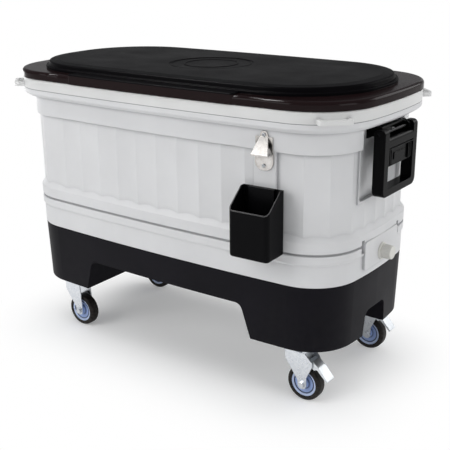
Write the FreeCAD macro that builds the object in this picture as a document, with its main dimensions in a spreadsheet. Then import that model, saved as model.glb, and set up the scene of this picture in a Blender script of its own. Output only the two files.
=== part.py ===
"""Rolling cooler bar: an insulated fluted tub on a four-legged base with casters.

Millimetres, +Z up, +X towards the drain end, front towards -Y. The origin is on the floor under the
middle of the whole object's box. Bodies are drawn about the tub's own middle plane and placed from there.
"""
import FreeCAD, Part
import math
import os
import Sketcher
from FreeCAD import Placement, Rotation, Vector

doc = FreeCAD.newDocument("cooler_bar")
sheet = doc.addObject("Spreadsheet::Sheet", "Sizes")


class Size:
    """A number together with the sheet formula that it comes from."""

    def __init__(self, value, formula):
        self.value = float(value)
        self.formula = formula

    @staticmethod
    def of(other):
        return other if isinstance(other, Size) else Size(other, repr(float(other)))

    def __add__(self, other):
        other = Size.of(other)
        return Size(self.value + other.value, f"({self.formula} + {other.formula})")

    def __sub__(self, other):
        other = Size.of(other)
        return Size(self.value - other.value, f"({self.formula} - {other.formula})")

    def __mul__(self, other):
        other = Size.of(other)
        return Size(self.value * other.value, f"({self.formula} * {other.formula})")

    def __truediv__(self, other):
        other = Size.of(other)
        return Size(self.value / other.value, f"({self.formula} / {other.formula})")

    def __radd__(self, other):
        return Size.of(other) + self

    def __rsub__(self, other):
        return Size.of(other) - self

    def __rmul__(self, other):
        return Size.of(other) * self

    def __neg__(self):
        return Size(-self.value, f"(0 - {self.formula})")

    def root(self):
        return Size(math.sqrt(self.value), f"sqrt({self.formula})")


def size(alias, value):
    """Write one driving dimension into the sheet and return it."""
    size.row += 1
    sheet.set(f"A{size.row}", alias)
    sheet.set(f"B{size.row}", str(value))
    sheet.setAlias(f"B{size.row}", alias)
    return Size(value, "Sizes." + alias)


size.row = 0

# Plan of the rim: bowed sides and ends, with round corners
rim_length = size("rim_length", 1160)
rim_width = size("rim_width", 586)
side_bow = size("side_bow", 8200)
end_bow = size("end_bow", 1400)
corner_round = size("corner_round", 171)

# Heights, stacked from the floor
caster_height = size("caster_height", 158)
base_height = size("base_height", 180)
deck_drop = size("deck_drop", 34)
lower_wall_height = size("lower_wall_height", 58)
ridge_slope = size("ridge_slope", 6)
low_ridge_height = size("low_ridge_height", 20)
groove_height = size("groove_height", 7)
high_ridge_height = size("high_ridge_height", 28)
scallop_height = size("scallop_height", 11)
flute_height = size("flute_height", 209)
band_height = size("band_height", 56)
rim_lower_height = size("rim_lower_height", 25)
rim_upper_height = size("rim_upper_height", 30)

# Insets of the walls from the rim's outline
rim_inset = size("rim_inset", 2)
band_inset = size("band_inset", 34)
crest_inset = size("crest_inset", 41)
ridge_inset = size("ridge_inset", 32)
lower_inset = size("lower_inset", 36)
groove_depth = size("groove_depth", 7)
groove_flank = size("groove_flank", 0.3)
rim_cove = size("rim_cove", 14)
rim_cove_rise = size("rim_cove_rise", 1)
rim_bead_rise = size("rim_bead_rise", 11)
rim_bead_round = size("rim_bead_round", 6)
base_top_inset = size("base_top_inset", 37)
base_sole_inset = size("base_sole_inset", 43)

# Walls and clearances
skin = size("skin", 4)
foam_floor = size("foam_floor", 48)
foam_wall = size("foam_wall", 32)
liner_draft = size("liner_draft", 8)
liner_lip_round = size("liner_lip_round", 1)
liner_mouth_round = size("liner_mouth_round", 5)
floor_ring = size("floor_ring", 26)
foam_shoulder = size("foam_shoulder", 3)
part_gap = size("part_gap", 0.3)
running_gap = size("running_gap", 0.05)
seat_gap = size("seat_gap", 0.2)
lap = size("lap", 2)
cut_over = size("cut_over", 1)
hole_spare = size("hole_spare", 4)

# Roundings that several pieces share
edge_round = size("edge_round", 2)
band_round = size("band_round", 3)
crest_round = size("crest_round", 4)
foot_round = size("foot_round", 8)

# Flutes and the panels on the walls
flute_pitch = size("flute_pitch", 71.2)
flute_depth = size("flute_depth", 4)
end_flute_pitch = size("end_flute_pitch", 56)
corner_flute_lead = size("corner_flute_lead", 20)
corner_flute_turn = size("corner_flute_turn", 28.5)
least_flute = size("least_flute", 0.6)
flute_lap = size("flute_lap", 0.5)
lower_wall = size("lower_wall", 10)
accessory_x = size("accessory_x", 347)
accessory_pad_half = size("accessory_pad_half", 31)

# Lid
lid_ring_height = size("lid_ring_height", 23)
lid_ring_round = size("lid_ring_round", 9)
dome_end_margin = size("dome_end_margin", 45)
dome_side_margin = size("dome_side_margin", 31)
dome_end_flat = size("dome_end_flat", 34)
dome_step_height = size("dome_step_height", 8)
dome_step_inset = size("dome_step_inset", 7)
dome_rise = size("dome_rise", 14)
dome_slope = size("dome_slope", 32)
dome_lean = size("dome_lean", 3)
dome_crown = size("dome_crown", 2)
dome_round = size("dome_round", 6)
lid_ring_width = size("lid_ring_width", 22)
plug_lean = size("plug_lean", 4)
plug_floor_ring = size("plug_floor_ring", 30)
plug_round = size("plug_round", 6)
plug_depth = size("plug_depth", 26)
plug_gap = size("plug_gap", 3)
lip_half_length = size("lip_half_length", 281)
lip_proud = size("lip_proud", 2)
lip_drop = size("lip_drop", 3.5)
lip_end_round = size("lip_end_round", 9)
lip_edge_round = size("lip_edge_round", 4)
lip_end_lean = size("lip_end_lean", 6)
round_place_radius = size("round_place_radius", 119)
round_place_depth = size("round_place_depth", 1.2)

# Tie-down loops
loop_length = size("loop_length", 84)
loop_reach = size("loop_reach", 25)
loop_bar = size("loop_bar", 9)
loop_height = size("loop_height", 12)
loop_root = size("loop_root", 8)
loop_round = size("loop_round", 12)
loop_inner_round = size("loop_inner_round", 5)
loop_rise = size("loop_rise", 3)

# Base
base_wall = size("base_wall", 4.5)
deck_thickness = size("deck_thickness", 6)
sole_thickness = size("sole_thickness", 8)
side_arch_half = size("side_arch_half", 300)
side_arch_lean = size("side_arch_lean", 30)
side_arch_height = size("side_arch_height", 97)
end_arch_half = size("end_arch_half", 62)
end_arch_lean = size("end_arch_lean", 8)
end_arch_height = size("end_arch_height", 72)
arch_round = size("arch_round", 22)
base_lip_round = size("base_lip_round", 1.5)
base_screw_x = size("base_screw_x", 198)
base_screw_y = size("base_screw_y", 161.15)

# Casters
caster_end_margin = size("caster_end_margin", 170)
caster_side_margin = size("caster_side_margin", 109)
wheel_diameter = size("wheel_diameter", 100)
wheel_width = size("wheel_width", 32)
hub_diameter = size("hub_diameter", 74)
trail = size("trail", 28)
caster_plate_length = size("caster_plate_length", 96)
caster_plate_width = size("caster_plate_width", 76)
caster_plate_thickness = size("caster_plate_thickness", 4)
bolt_spacing_x = size("bolt_spacing_x", 74)
bolt_spacing_y = size("bolt_spacing_y", 54)
bolt_radius = size("bolt_radius", 4)
bolt_head_radius = size("bolt_head_radius", 6.8)
bolt_head = size("bolt_head", 6)
race_height = size("race_height", 11)
race_radius = size("race_radius", 31)
race_lip = size("race_lip", 3)
fork_sheet = size("fork_sheet", 3.5)
fork_gap = size("fork_gap", 4)
kingpin_radius = size("kingpin_radius", 6)
kingpin_head_radius = size("kingpin_head_radius", 10.8)
kingpin_head = size("kingpin_head", 6)
fork_crown = size("fork_crown", 35)
fork_foot = size("fork_foot", 13)
fork_drop = size("fork_drop", 26)
fork_neck = size("fork_neck", 24)
axle_head_radius = size("axle_head_radius", 8.75)
axle_head = size("axle_head", 6)
hub_boss_radius = size("hub_boss_radius", 13)
hub_boss_foot = size("hub_boss_foot", 15)
hub_ring = size("hub_ring", 6)
hub_groove = size("hub_groove", 4)
tyre_shoulder = size("tyre_shoulder", 8)
axle_radius = size("axle_radius", 5)
swivel_gap = size("swivel_gap", 1.5)
pedal_lead = size("pedal_lead", 20)
pedal_rise = size("pedal_rise", 16)
pedal_width = size("pedal_width", 34)
pedal_cheek = size("pedal_cheek", 9)
pedal_eye = size("pedal_eye", 7)
pedal_knee_x = size("pedal_knee_x", 26)
pedal_knee_drop = size("pedal_knee_drop", 8)
pedal_tip_x = size("pedal_tip_x", 54)
pedal_tip_drop = size("pedal_tip_drop", 40)
pedal_sheet = size("pedal_sheet", 6)
shoe_x = size("shoe_x", 13)
shoe_drop = size("shoe_drop", 18)
pedal_pin_radius = size("pedal_pin_radius", 3)

# End handles
handle_width = size("handle_width", 188)
handle_drop = size("handle_drop", 158)
handle_depth = size("handle_depth", 31)
handle_front = size("handle_front", 18)
handle_pivot_out = size("handle_pivot_out", 24)
handle_pivot_drop = size("handle_pivot_drop", 20)
handle_rail = size("handle_rail", 24)
handle_eye = size("handle_eye", 12)
handle_corner = size("handle_corner", 20)
handle_bar = size("handle_bar", 20)
handle_window_height = size("handle_window_height", 54)
handle_panel_height = size("handle_panel_height", 44)
handle_panel_depth = size("handle_panel_depth", 6)
handle_groove = size("handle_groove", 4)
handle_edge_round = size("handle_edge_round", 3)
handle_top_round = size("handle_top_round", 9)
handle_rib = size("handle_rib", 3)
handle_rib_pitch = size("handle_rib_pitch", 8)
handle_rib_side = size("handle_rib_side", 5.6)
handle_back_side = size("handle_back_side", 8)
handle_back_round = size("handle_back_round", 6)
label_half_width = size("label_half_width", 30)
label_half_height = size("label_half_height", 9.5)
label_height = size("label_height", 2)
handle_pin_radius = size("handle_pin_radius", 4)
handle_pin_set_in = size("handle_pin_set_in", 2)
ear_radius = size("ear_radius", 10)
ear_width = size("ear_width", 10)
ear_flat = size("ear_flat", 1)
bracket_side_gap = size("bracket_side_gap", 2)
bracket_height = size("bracket_height", 34)
bracket_plate = size("bracket_plate", 5)
bracket_set_back = size("bracket_set_back", 4)
bracket_screw_in = size("bracket_screw_in", 17.2)
recess_half = size("recess_half", 114)
recess_depth = size("recess_depth", 22)
recess_height = size("recess_height", 190)
recess_low_round = size("recess_low_round", 14)
recess_top_round = size("recess_top_round", 6)
recess_top_drop = size("recess_top_drop", 1)

# Drain
drain_rise = size("drain_rise", 26)
drain_tube_radius = size("drain_tube_radius", 13)
drain_bore_radius = size("drain_bore_radius", 10)
drain_flange_radius = size("drain_flange_radius", 23)
drain_flange = size("drain_flange", 5)
drain_spigot = size("drain_spigot", 20)
drain_cap_radius = size("drain_cap_radius", 18)
drain_cap_wall = size("drain_cap_wall", 4)
drain_cap_round = size("drain_cap_round", 2.5)
drain_gasket = size("drain_gasket", 2.5)
drain_panel_half = size("drain_panel_half", 92)
drain_panel_margin = size("drain_panel_margin", 5)
drain_panel_round = size("drain_panel_round", 8)
drain_panel_edge = size("drain_panel_edge", 1.5)
drain_panel_proud = size("drain_panel_proud", 1)
drain_slot = size("drain_slot", 13)
drain_slot_low = size("drain_slot_low", 4)
drain_slot_high = size("drain_slot_high", 12)
drain_tail = size("drain_tail", 16)
drain_nut_height = size("drain_nut_height", 10)
drain_nut_wall = size("drain_nut_wall", 5)

# Bottle opener and cap catcher
opener_top = size("opener_top", 727)
opener_length = size("opener_length", 98)
opener_width = size("opener_width", 52)
opener_plate = size("opener_plate", 3.5)
opener_hood = size("opener_hood", 26)
opener_neck = size("opener_neck", 8)
opener_shoulder = size("opener_shoulder", 44.2)
opener_hood_low = size("opener_hood_low", 39.2)
opener_hood_drop = size("opener_hood_drop", 13.72)
opener_hood_half = size("opener_hood_half", 23.92)
opener_hood_sheet = size("opener_hood_sheet", 5)
opener_throat_drop = size("opener_throat_drop", 14)
opener_screw_drop = size("opener_screw_drop", 8.84)
opener_screw_rise = size("opener_screw_rise", 12.48)
catcher_width = size("catcher_width", 114)
catcher_depth = size("catcher_depth", 74)
catcher_height = size("catcher_height", 168)
catcher_front_drop = size("catcher_front_drop", 44)
catcher_top = size("catcher_top", 588)
catcher_wall = size("catcher_wall", 3)
catcher_stand_off = size("catcher_stand_off", 5)
catcher_round = size("catcher_round", 12)
hanger_half = size("hanger_half", 33)
hanger_height = size("hanger_height", 32)
hanger_neck = size("hanger_neck", 24)
hanger_lip = size("hanger_lip", 5)
hanger_screw_half = size("hanger_screw_half", 14.4)
catcher_top_flat = size("catcher_top_flat", 14)
catcher_rim_round = size("catcher_rim_round", 6)
catcher_inside_round = size("catcher_inside_round", 9)

# Fasteners
screw_radius = size("screw_radius", 2.5)
screw_head_radius = size("screw_head_radius", 5)
screw_head = size("screw_head", 3)
screw_length = size("screw_length", 10)

doc.recompute()

# Levels worked out from the stacked heights
sole_z = caster_height
base_top_z = sole_z + base_height
deck_top_z = base_top_z - deck_drop
low_ridge_z = base_top_z + lower_wall_height + ridge_slope
groove_z = low_ridge_z + low_ridge_height
high_ridge_z = groove_z + groove_height
ridge_top_z = high_ridge_z + high_ridge_height
flute_low_z = ridge_top_z + scallop_height
band_low_z = flute_low_z + flute_height
band_high_z = band_low_z + band_height
rim_split_z = band_high_z + rim_lower_height
rim_top_z = rim_split_z + rim_upper_height
lid_low_z = rim_top_z + part_gap
lid_ring_z = lid_low_z + lid_ring_height
dome_step_z = lid_ring_z + dome_step_height
lid_top_z = dome_step_z + dome_rise
liner_floor_z = deck_top_z + skin + foam_floor + part_gap * 2 + skin

# Places worked out from the plan
half_length = rim_length / 2
half_width = rim_width / 2
caster_x = half_length - caster_end_margin
caster_y = half_width - caster_side_margin
dome_length = rim_length - dome_end_margin * 2
dome_width = rim_width - dome_side_margin * 2
dome_corner = dome_width / 2 - dome_end_flat
flute_floor_inset = crest_inset + flute_depth
wall_inner_inset = flute_floor_inset + skin
liner_outer_inset = wall_inner_inset + foam_wall
cavity_inset = liner_outer_inset + skin
deck_lean = (base_sole_inset - base_top_inset) * deck_drop / base_height
spigot_inset = base_top_inset + base_wall + deck_lean + part_gap

# The accessory pad's face: its place on the bowed front, and the sine and cosine of its turn
band_bow = side_bow - band_inset
pad_sine = accessory_x / band_bow
pad_cosine = (1 - pad_sine * pad_sine).root()
pad_y = side_bow - half_width - band_bow * pad_cosine
catcher_front = catcher_stand_off + catcher_depth
catcher_reach = ((catcher_front - catcher_round) * pad_cosine + (catcher_width / 2 - catcher_round) * pad_sine
                 + catcher_round - pad_y)
frame_shift = (catcher_reach - half_width - lip_proud) / 2
wheel_radius = wheel_diameter / 2
pedal_x = trail + pedal_lead
pedal_z = wheel_diameter + pedal_rise
drain_z = liner_floor_z + drain_rise
recess_face = half_length - band_inset - recess_depth
pivot_x = half_length - band_inset + handle_pivot_out
pivot_z = band_high_z - handle_pivot_drop
bracket_length = handle_width - (handle_rail + bracket_side_gap) * 2
bracket_screw_half = bracket_length / 2 - ear_width - bracket_screw_in
SIDES = (1, -1)
CLOSE = 0.1
UP = Vector(0, 0, 1)


def bind(thing, prop, amount):
    """Tie a property to the sheet."""
    amount = Size.of(amount)
    if "Sizes." in amount.formula:
        thing.setExpression(prop, amount.formula)


def new_body(name):
    """Start a body that is drawn about the tub's middle plane."""
    body = doc.addObject("PartDesign::Body", name)
    body.Label = name
    place(body, 0, 0, 0)
    return body


def place(thing, x, y, z, turn=None):
    """Put a body at a point given from the tub's middle plane."""
    x, y, z = Size.of(x), Size.of(y) + frame_shift, Size.of(z)
    thing.Placement = Placement(Vector(x.value, y.value, z.value), turn or Rotation())
    bind(thing, "Placement.Base.x", x)
    bind(thing, "Placement.Base.y", y)
    bind(thing, "Placement.Base.z", z)


def new_sketch(body, name, role, level=0):
    """Start a sketch on one of the body's own origin planes, moved along its normal."""
    sketch = body.newObject("Sketcher::SketchObject", f"{body.Name}_{name}")
    plane = next(feature for feature in body.Origin.OriginFeatures if feature.Role == role)
    sketch.AttachmentSupport = [(plane, "")]
    sketch.MapMode = "FlatFace"
    level = Size.of(level)
    sketch.AttachmentOffset = Placement(Vector(0, 0, level.value), Rotation())
    bind(sketch, "AttachmentOffset.Base.z", level)
    return sketch


class Constraints:
    """Collects a sketch's constraints and ties their sizes to the sheet."""

    def __init__(self, sketch):
        self.sketch = sketch
        self.rows = []
        self.bound = []
        self.start = sketch.ConstraintCount

    def add(self, kind, *places):
        self.rows.append(Sketcher.Constraint(kind, *places))

    def measure(self, kind, *places):
        amount = Size.of(places[-1])
        self.bound.append((self.start + len(self.rows), amount))
        self.rows.append(Sketcher.Constraint(kind, *places[:-1], amount.value))

    def close(self):
        self.sketch.addConstraint(self.rows)
        for index, amount in self.bound:
            bind(self.sketch, f"Constraints[{index}]", amount)


def add_outline(sketch, corners):
    """Draw a closed outline of straight sides; a corner may carry a rounding radius."""
    corners = [tuple(Size.of(number) for number in corner) for corner in corners]
    count = len(corners)
    points = [Vector(corner[0].value, corner[1].value, 0) for corner in corners]
    starts = []
    ends = []
    for index, corner in enumerate(corners):
        if len(corner) == 2:
            starts.append(points[index])
            ends.append(points[index])
            continue
        back = (points[index - 1] - points[index]).normalize()
        ahead = (points[(index + 1) % count] - points[index]).normalize()
        cut = corner[2].value / math.tan(back.getAngle(ahead) / 2)
        ends.append(points[index] + back * cut)
        starts.append(points[index] + ahead * cut)
    first = sketch.GeometryCount
    for index in range(count):
        sketch.addGeometry(Part.LineSegment(starts[index], ends[(index + 1) % count]), False)
    rules = Constraints(sketch)
    for index, corner in enumerate(corners):
        before = first + (index - 1) % count
        after = first + index
        if len(corner) == 2:
            rules.add("Coincident", before, 2, after, 1)
            rules.measure("DistanceX", after, 1, corner[0])
            rules.measure("DistanceY", after, 1, corner[1])
            continue
        arc, begins = add_corner_arc(sketch, ends[index], points[index], starts[index], corner[2].value)
        tip = sketch.addGeometry(Part.Point(points[index]), True)
        rules.add("Tangent", before, 2, arc, 1 if begins else 2)
        rules.add("Tangent", arc, 2 if begins else 1, after, 1)
        rules.add("PointOnObject", tip, 1, before)
        rules.add("PointOnObject", tip, 1, after)
        rules.measure("DistanceX", tip, 1, corner[0])
        rules.measure("DistanceY", tip, 1, corner[1])
        rules.measure("Radius", arc, corner[2])
    rules.close()


def add_corner_arc(sketch, begin, tip, end, radius):
    """Draw the arc that rounds one corner; return its index and whether it starts at the first point."""
    chord_middle = (begin + end) * 0.5
    inward = (chord_middle - tip).normalize()
    half_chord = (end - begin).Length / 2
    reach = (chord_middle - tip).Length + math.sqrt(max(radius * radius - half_chord * half_chord, 0))
    centre = tip + inward * reach
    first = math.atan2(begin.y - centre.y, begin.x - centre.x)
    last = math.atan2(end.y - centre.y, end.x - centre.x)
    begins = (last - first) % (2 * math.pi) < math.pi
    turns = (first, last) if begins else (last, first)
    arc = Part.ArcOfCircle(Part.Circle(centre, UP, radius), *turns)
    return sketch.addGeometry(arc, False), begins


def add_circle(sketch, x, y, radius):
    """Draw a full circle."""
    x, y, radius = Size.of(x), Size.of(y), Size.of(radius)
    circle = Part.Circle(Vector(x.value, y.value, 0), UP, radius.value)
    index = sketch.addGeometry(circle, False)
    rules = Constraints(sketch)
    rules.measure("DistanceX", index, 3, x)
    rules.measure("DistanceY", index, 3, y)
    rules.measure("Radius", index, radius)
    rules.close()


class Plan:
    """A closed outline of bowed sides, bowed ends and round corners, and its parallel insets."""

    def __init__(self, length, width, corner):
        self.length = length
        self.width = width
        self.corner = corner

    def centres(self):
        """Return the centres of the front, right-hand and front right corner arcs."""
        front = Vector(0, side_bow.value - self.width.value / 2, 0)
        right = Vector(self.length.value / 2 - end_bow.value, 0, 0)
        front_reach = side_bow.value - self.corner.value
        right_reach = end_bow.value - self.corner.value
        line = right - front
        along = (front_reach ** 2 - right_reach ** 2 + line.Length ** 2) / (2 * line.Length)
        across = math.sqrt(front_reach ** 2 - along ** 2)
        line = line.normalize()
        foot = front + line * along
        normal = Vector(-line.y, line.x, 0)
        options = [foot + normal * across, foot - normal * across]
        corner = min(options, key=lambda point: point.y if point.x > 0 else math.inf)
        return front, right, corner

    def angles(self):
        """Return the directions in which the front and the right-hand arcs meet the corner."""
        front, right, corner = self.centres()
        to_front = corner - front
        to_right = corner - right
        return math.atan2(to_front.y, to_front.x), math.atan2(to_right.y, to_right.x)

    def arcs(self, inset):
        """Return the outline's arcs, counter-clockwise from the middle of the +X end."""
        front, right, corner = self.centres()
        front_turn, right_turn = self.angles()
        spans = (
            (right.x, 0, end_bow.value, 0, -right_turn),
            (corner.x, -corner.y, self.corner.value, -right_turn, -front_turn),
            (0, -front.y, side_bow.value, -front_turn, math.pi + front_turn),
            (-corner.x, -corner.y, self.corner.value, math.pi + front_turn, math.pi + right_turn),
            (-right.x, 0, end_bow.value, math.pi + right_turn, math.pi - right_turn),
            (-corner.x, corner.y, self.corner.value, math.pi - right_turn, math.pi - front_turn),
            (0, front.y, side_bow.value, math.pi - front_turn, 2 * math.pi + front_turn),
            (corner.x, corner.y, self.corner.value, front_turn, right_turn),
            (right.x, 0, end_bow.value, right_turn, 0),
        )
        arcs = []
        for x, y, radius, begin, finish in spans:
            circle = Part.Circle(Vector(x, y, 0), UP, radius - inset)
            arcs.append(Part.ArcOfCircle(circle, begin, finish))
        return arcs

    def sketch(self, body, name, inset, level=0):
        """Draw the outline, moved in by an inset, as a fully held sketch."""
        inset = Size.of(inset)
        sketch = new_sketch(body, name, "XY_Plane", level)
        sketch.addGeometry(self.arcs(inset.value), False)
        rules = Constraints(sketch)
        for index in range(8):
            rules.add("Tangent", index, 2, index + 1, 1)
        rules.add("Coincident", 8, 2, 0, 1)
        rules.add("Coincident", 8, 3, 0, 3)
        rules.add("PointOnObject", 0, 1, -1)
        radii = (end_bow, self.corner, side_bow, self.corner, end_bow, self.corner, side_bow, self.corner)
        for index, radius in enumerate(radii):
            rules.measure("Radius", index, radius - inset)
        for index, way in ((2, -1), (6, 1)):
            rules.add("PointOnObject", index, 3, -2)
            rules.measure("DistanceY", index, 3, (side_bow - self.width / 2) * way)
        for index, way in ((0, 1), (4, -1)):
            rules.add("PointOnObject", index, 3, -1)
            rules.measure("DistanceX", index, 3, (self.length / 2 - end_bow) * way)
        rules.close()
        return sketch

    def wire(self, inset, level):
        """Return the outline, moved in by an inset, as a wire at a height."""
        wire = Part.Wire([arc.toShape() for arc in self.arcs(inset)])
        wire.translate(Vector(0, 0, level))
        return wire

    def point(self, inset, angle_of, turn):
        """Return a point and its outward direction on the front, corner or right-hand arc."""
        front, right, corner = self.centres()
        centre, radius = {
            "front": (front, side_bow.value),
            "corner": (corner, self.corner.value),
            "right": (right, end_bow.value),
        }[angle_of]
        outward = Vector(math.cos(turn), math.sin(turn), 0)
        return centre + outward * (radius - inset)


rim_plan = Plan(rim_length, rim_width, corner_round)
dome_plan = Plan(dome_length, dome_width, dome_corner)


def swept(body, plan, name, profile):
    """Carry a wall's profile, given as insets and heights, round a plan."""
    spine = plan.sketch(body, name + "_path", 0)
    section = new_sketch(body, name + "_profile", "XZ_Plane")
    add_outline(section, [(plan.length / 2 - corner[0],) + tuple(corner[1:]) for corner in profile])
    pipe = body.newObject("PartDesign::AdditivePipe", f"{body.Name}_{name}")
    pipe.Profile = section
    pipe.Spine = (spine, [])
    return pipe


def pad(body, sketch, length, reverse=False, centred=False):
    """Raise a sketch into a solid."""
    feature = body.newObject("PartDesign::Pad", sketch.Name + "_pad")
    feature.Profile = sketch
    feature.Length = Size.of(length).value
    feature.Reversed = reverse
    feature.SideType = "Symmetric" if centred else "One side"
    bind(feature, "Length", length)
    return feature


def check(body):
    """Recompute, and stop with a feature's name where it failed."""
    doc.recompute()
    for feature in body.Group:
        if "Invalid" in feature.State or "Error" in feature.State:
            raise RuntimeError(f"{feature.Name} failed: {feature.getStatusString()}")


def pocket(body, sketch, length, reverse=False, centred=False):
    """Cut a sketch out of the body, checking that it takes something away."""
    check(body)
    before = body.Shape.Volume
    feature = body.newObject("PartDesign::Pocket", sketch.Name + "_cut")
    feature.Profile = sketch
    feature.Length = Size.of(length).value
    feature.Reversed = reverse
    feature.SideType = "Symmetric" if centred else "One side"
    bind(feature, "Length", length)
    check(body)
    if body.Shape.Volume >= before - 0.01:
        raise RuntimeError(f"{sketch.Name} cuts nothing")
    return feature


def revolved(body, sketch, axis):
    """Turn a sketch once round its own vertical (V_Axis) or horizontal (H_Axis) axis."""
    feature = body.newObject("PartDesign::Revolution", sketch.Name + "_turn")
    feature.Profile = sketch
    feature.ReferenceAxis = (sketch, [axis])
    feature.Angle = 360
    return feature


def rounded(body, radius, wanted):
    """Fillet the edges of the body that a test picks."""
    check(body)
    tip = body.Tip
    edges = [f"Edge{index + 1}" for index, edge in enumerate(tip.Shape.Edges) if wanted(edge)]
    if not edges:
        raise RuntimeError(f"{body.Name} has no edge to round")
    feature = body.newObject("PartDesign::Fillet", f"{tip.Name}_round")
    feature.Base = (tip, edges)
    feature.Radius = Size.of(radius).value
    bind(feature, "Radius", radius)
    check(body)
    return feature


def fused(name, pieces):
    """Join several shapes into one solid."""
    feature = doc.addObject("Part::MultiFuse", name)
    feature.Shapes = pieces
    feature.Refine = True
    return feature


def cut(name, base, tool):
    """Take one shape away from another."""
    feature = doc.addObject("Part::Cut", name)
    feature.Base = base
    feature.Tool = tool
    return feature


def box(name, low, high):
    """Make a box between two corners given from the tub's middle plane."""
    feature = doc.addObject("Part::Box", name)
    for prop, begin, finish in zip(("Length", "Width", "Height"), low, high):
        amount = Size.of(finish) - begin
        setattr(feature, prop, amount.value)
        bind(feature, prop, amount)
    place(feature, *low)
    return feature


def cylinder(name, radius, length, start, direction):
    """Make a round bar from a start point along a direction."""
    feature = doc.addObject("Part::Cylinder", name)
    radius, length = Size.of(radius), Size.of(length)
    feature.Radius = radius.value
    feature.Height = length.value
    bind(feature, "Radius", radius)
    bind(feature, "Height", length)
    place(feature, *start, Rotation(UP, direction))
    return feature


def group(name, pieces):
    """Keep several separate solids together as one sub-part."""
    feature = doc.addObject("Part::Compound", name)
    feature.Links = pieces
    return feature


def copies(name, source, spots):
    """Set copies of one solid at several places: each spot is x, y, z and an optional turn."""
    links = []
    for index, spot in enumerate(spots):
        link = doc.addObject("App::Link", f"{name}_{index + 1}")
        link.LinkedObject = source
        link.LinkTransform = False
        place(link, *spot)
        links.append(link)
    return group(name, links)


def screw(name, length):
    """Make one pan-headed screw along +Z: the head's seat is at the origin, the shank below it."""
    body = new_body(name)
    sketch = new_sketch(body, "profile", "XZ_Plane")
    add_outline(sketch, [(0, -length), (screw_radius, -length), (screw_radius, 0), (screw_head_radius, 0),
                         (screw_head_radius, screw_head, screw_head / 2), (0, screw_head)])
    revolved(body, sketch, "V_Axis")
    return body


parts = {}


def keep(name, thing):
    """Register a finished sub-part under the name of its file."""
    thing.Label = name
    parts[name] = thing
    return thing


def mirror_pairs(x, y):
    """Return the four corner places of a rectangle, with words for their names."""
    return [(f"{depth}_{side}", x * right, y * back)
            for depth, back in (("front", -1), ("rear", 1)) for side, right in (("left", -1), ("right", 1))]


OUT = Rotation(UP, Vector(1, 0, 0))
PAD_TURN = Rotation(UP, math.degrees(math.asin(pad_sine.value)))
PAD_OUT = PAD_TURN.multiply(Rotation(UP, Vector(0, -1, 0)))
PAD_IN = Vector(-pad_sine.value, pad_cosine.value, 0)
END_TURN = {"right": Rotation(), "left": Rotation(UP, 180)}


def flute_quarter():
    """Return the flutes' crest points from the front's middle to the right-hand end's."""
    crest = crest_inset.value
    lead = math.radians(corner_flute_lead.value) - math.pi / 2
    turn = math.radians(corner_flute_turn.value)
    corner_count = int((rim_plan.angles()[1] - lead) / turn) + 1
    corner = [rim_plan.point(crest, "corner", lead + turn * index) for index in range(corner_count)]
    front_room = corner[0].x / flute_pitch.value - least_flute.value
    end_room = -corner[-1].y / end_flute_pitch.value - least_flute.value
    front_step = flute_pitch.value / (side_bow.value - crest)
    end_step = end_flute_pitch.value / (end_bow.value - crest)
    front = [rim_plan.point(crest, "front", front_step * index - math.pi / 2)
             for index in range(int(front_room) + 1)]
    end = [rim_plan.point(crest, "right", -end_step * (index + 0.5))
           for index in reversed(range(int(end_room + 0.5)))]
    return front, corner, end


def flute_wire():
    """Return the fluted outline: concave flutes along the walls, flat facets round the corners."""
    front, corner, end = flute_quarter()
    quarter = front + corner + end
    right_half = quarter + [Vector(point.x, -point.y, 0) for point in reversed(quarter)]
    ring = right_half[:-1] + [Vector(-point.x, point.y, 0) for point in reversed(right_half)][:-1]
    rim = rim_plan.wire(0, 0)
    facet = (corner[1] - corner[0]).Length
    edges = []
    for index, begin in enumerate(ring):
        finish = ring[(index + 1) % len(ring)]
        middle = (begin + finish) * 0.5
        depth = flute_floor_inset.value - rim.distToShape(Part.Vertex(middle))[0]
        beside_corner = abs(middle.x) > corner[0].x and abs(middle.y) > -corner[-1].y
        if beside_corner and abs((finish - begin).Length - facet) < part_gap.value:
            edges.append(Part.LineSegment(begin, finish).toShape())
            continue
        inward = Vector(begin.y - finish.y, finish.x - begin.x, 0).normalize()
        edges.append(Part.Arc(begin, middle + inward * depth, finish).toShape())
    return Part.Wire(edges)


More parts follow.
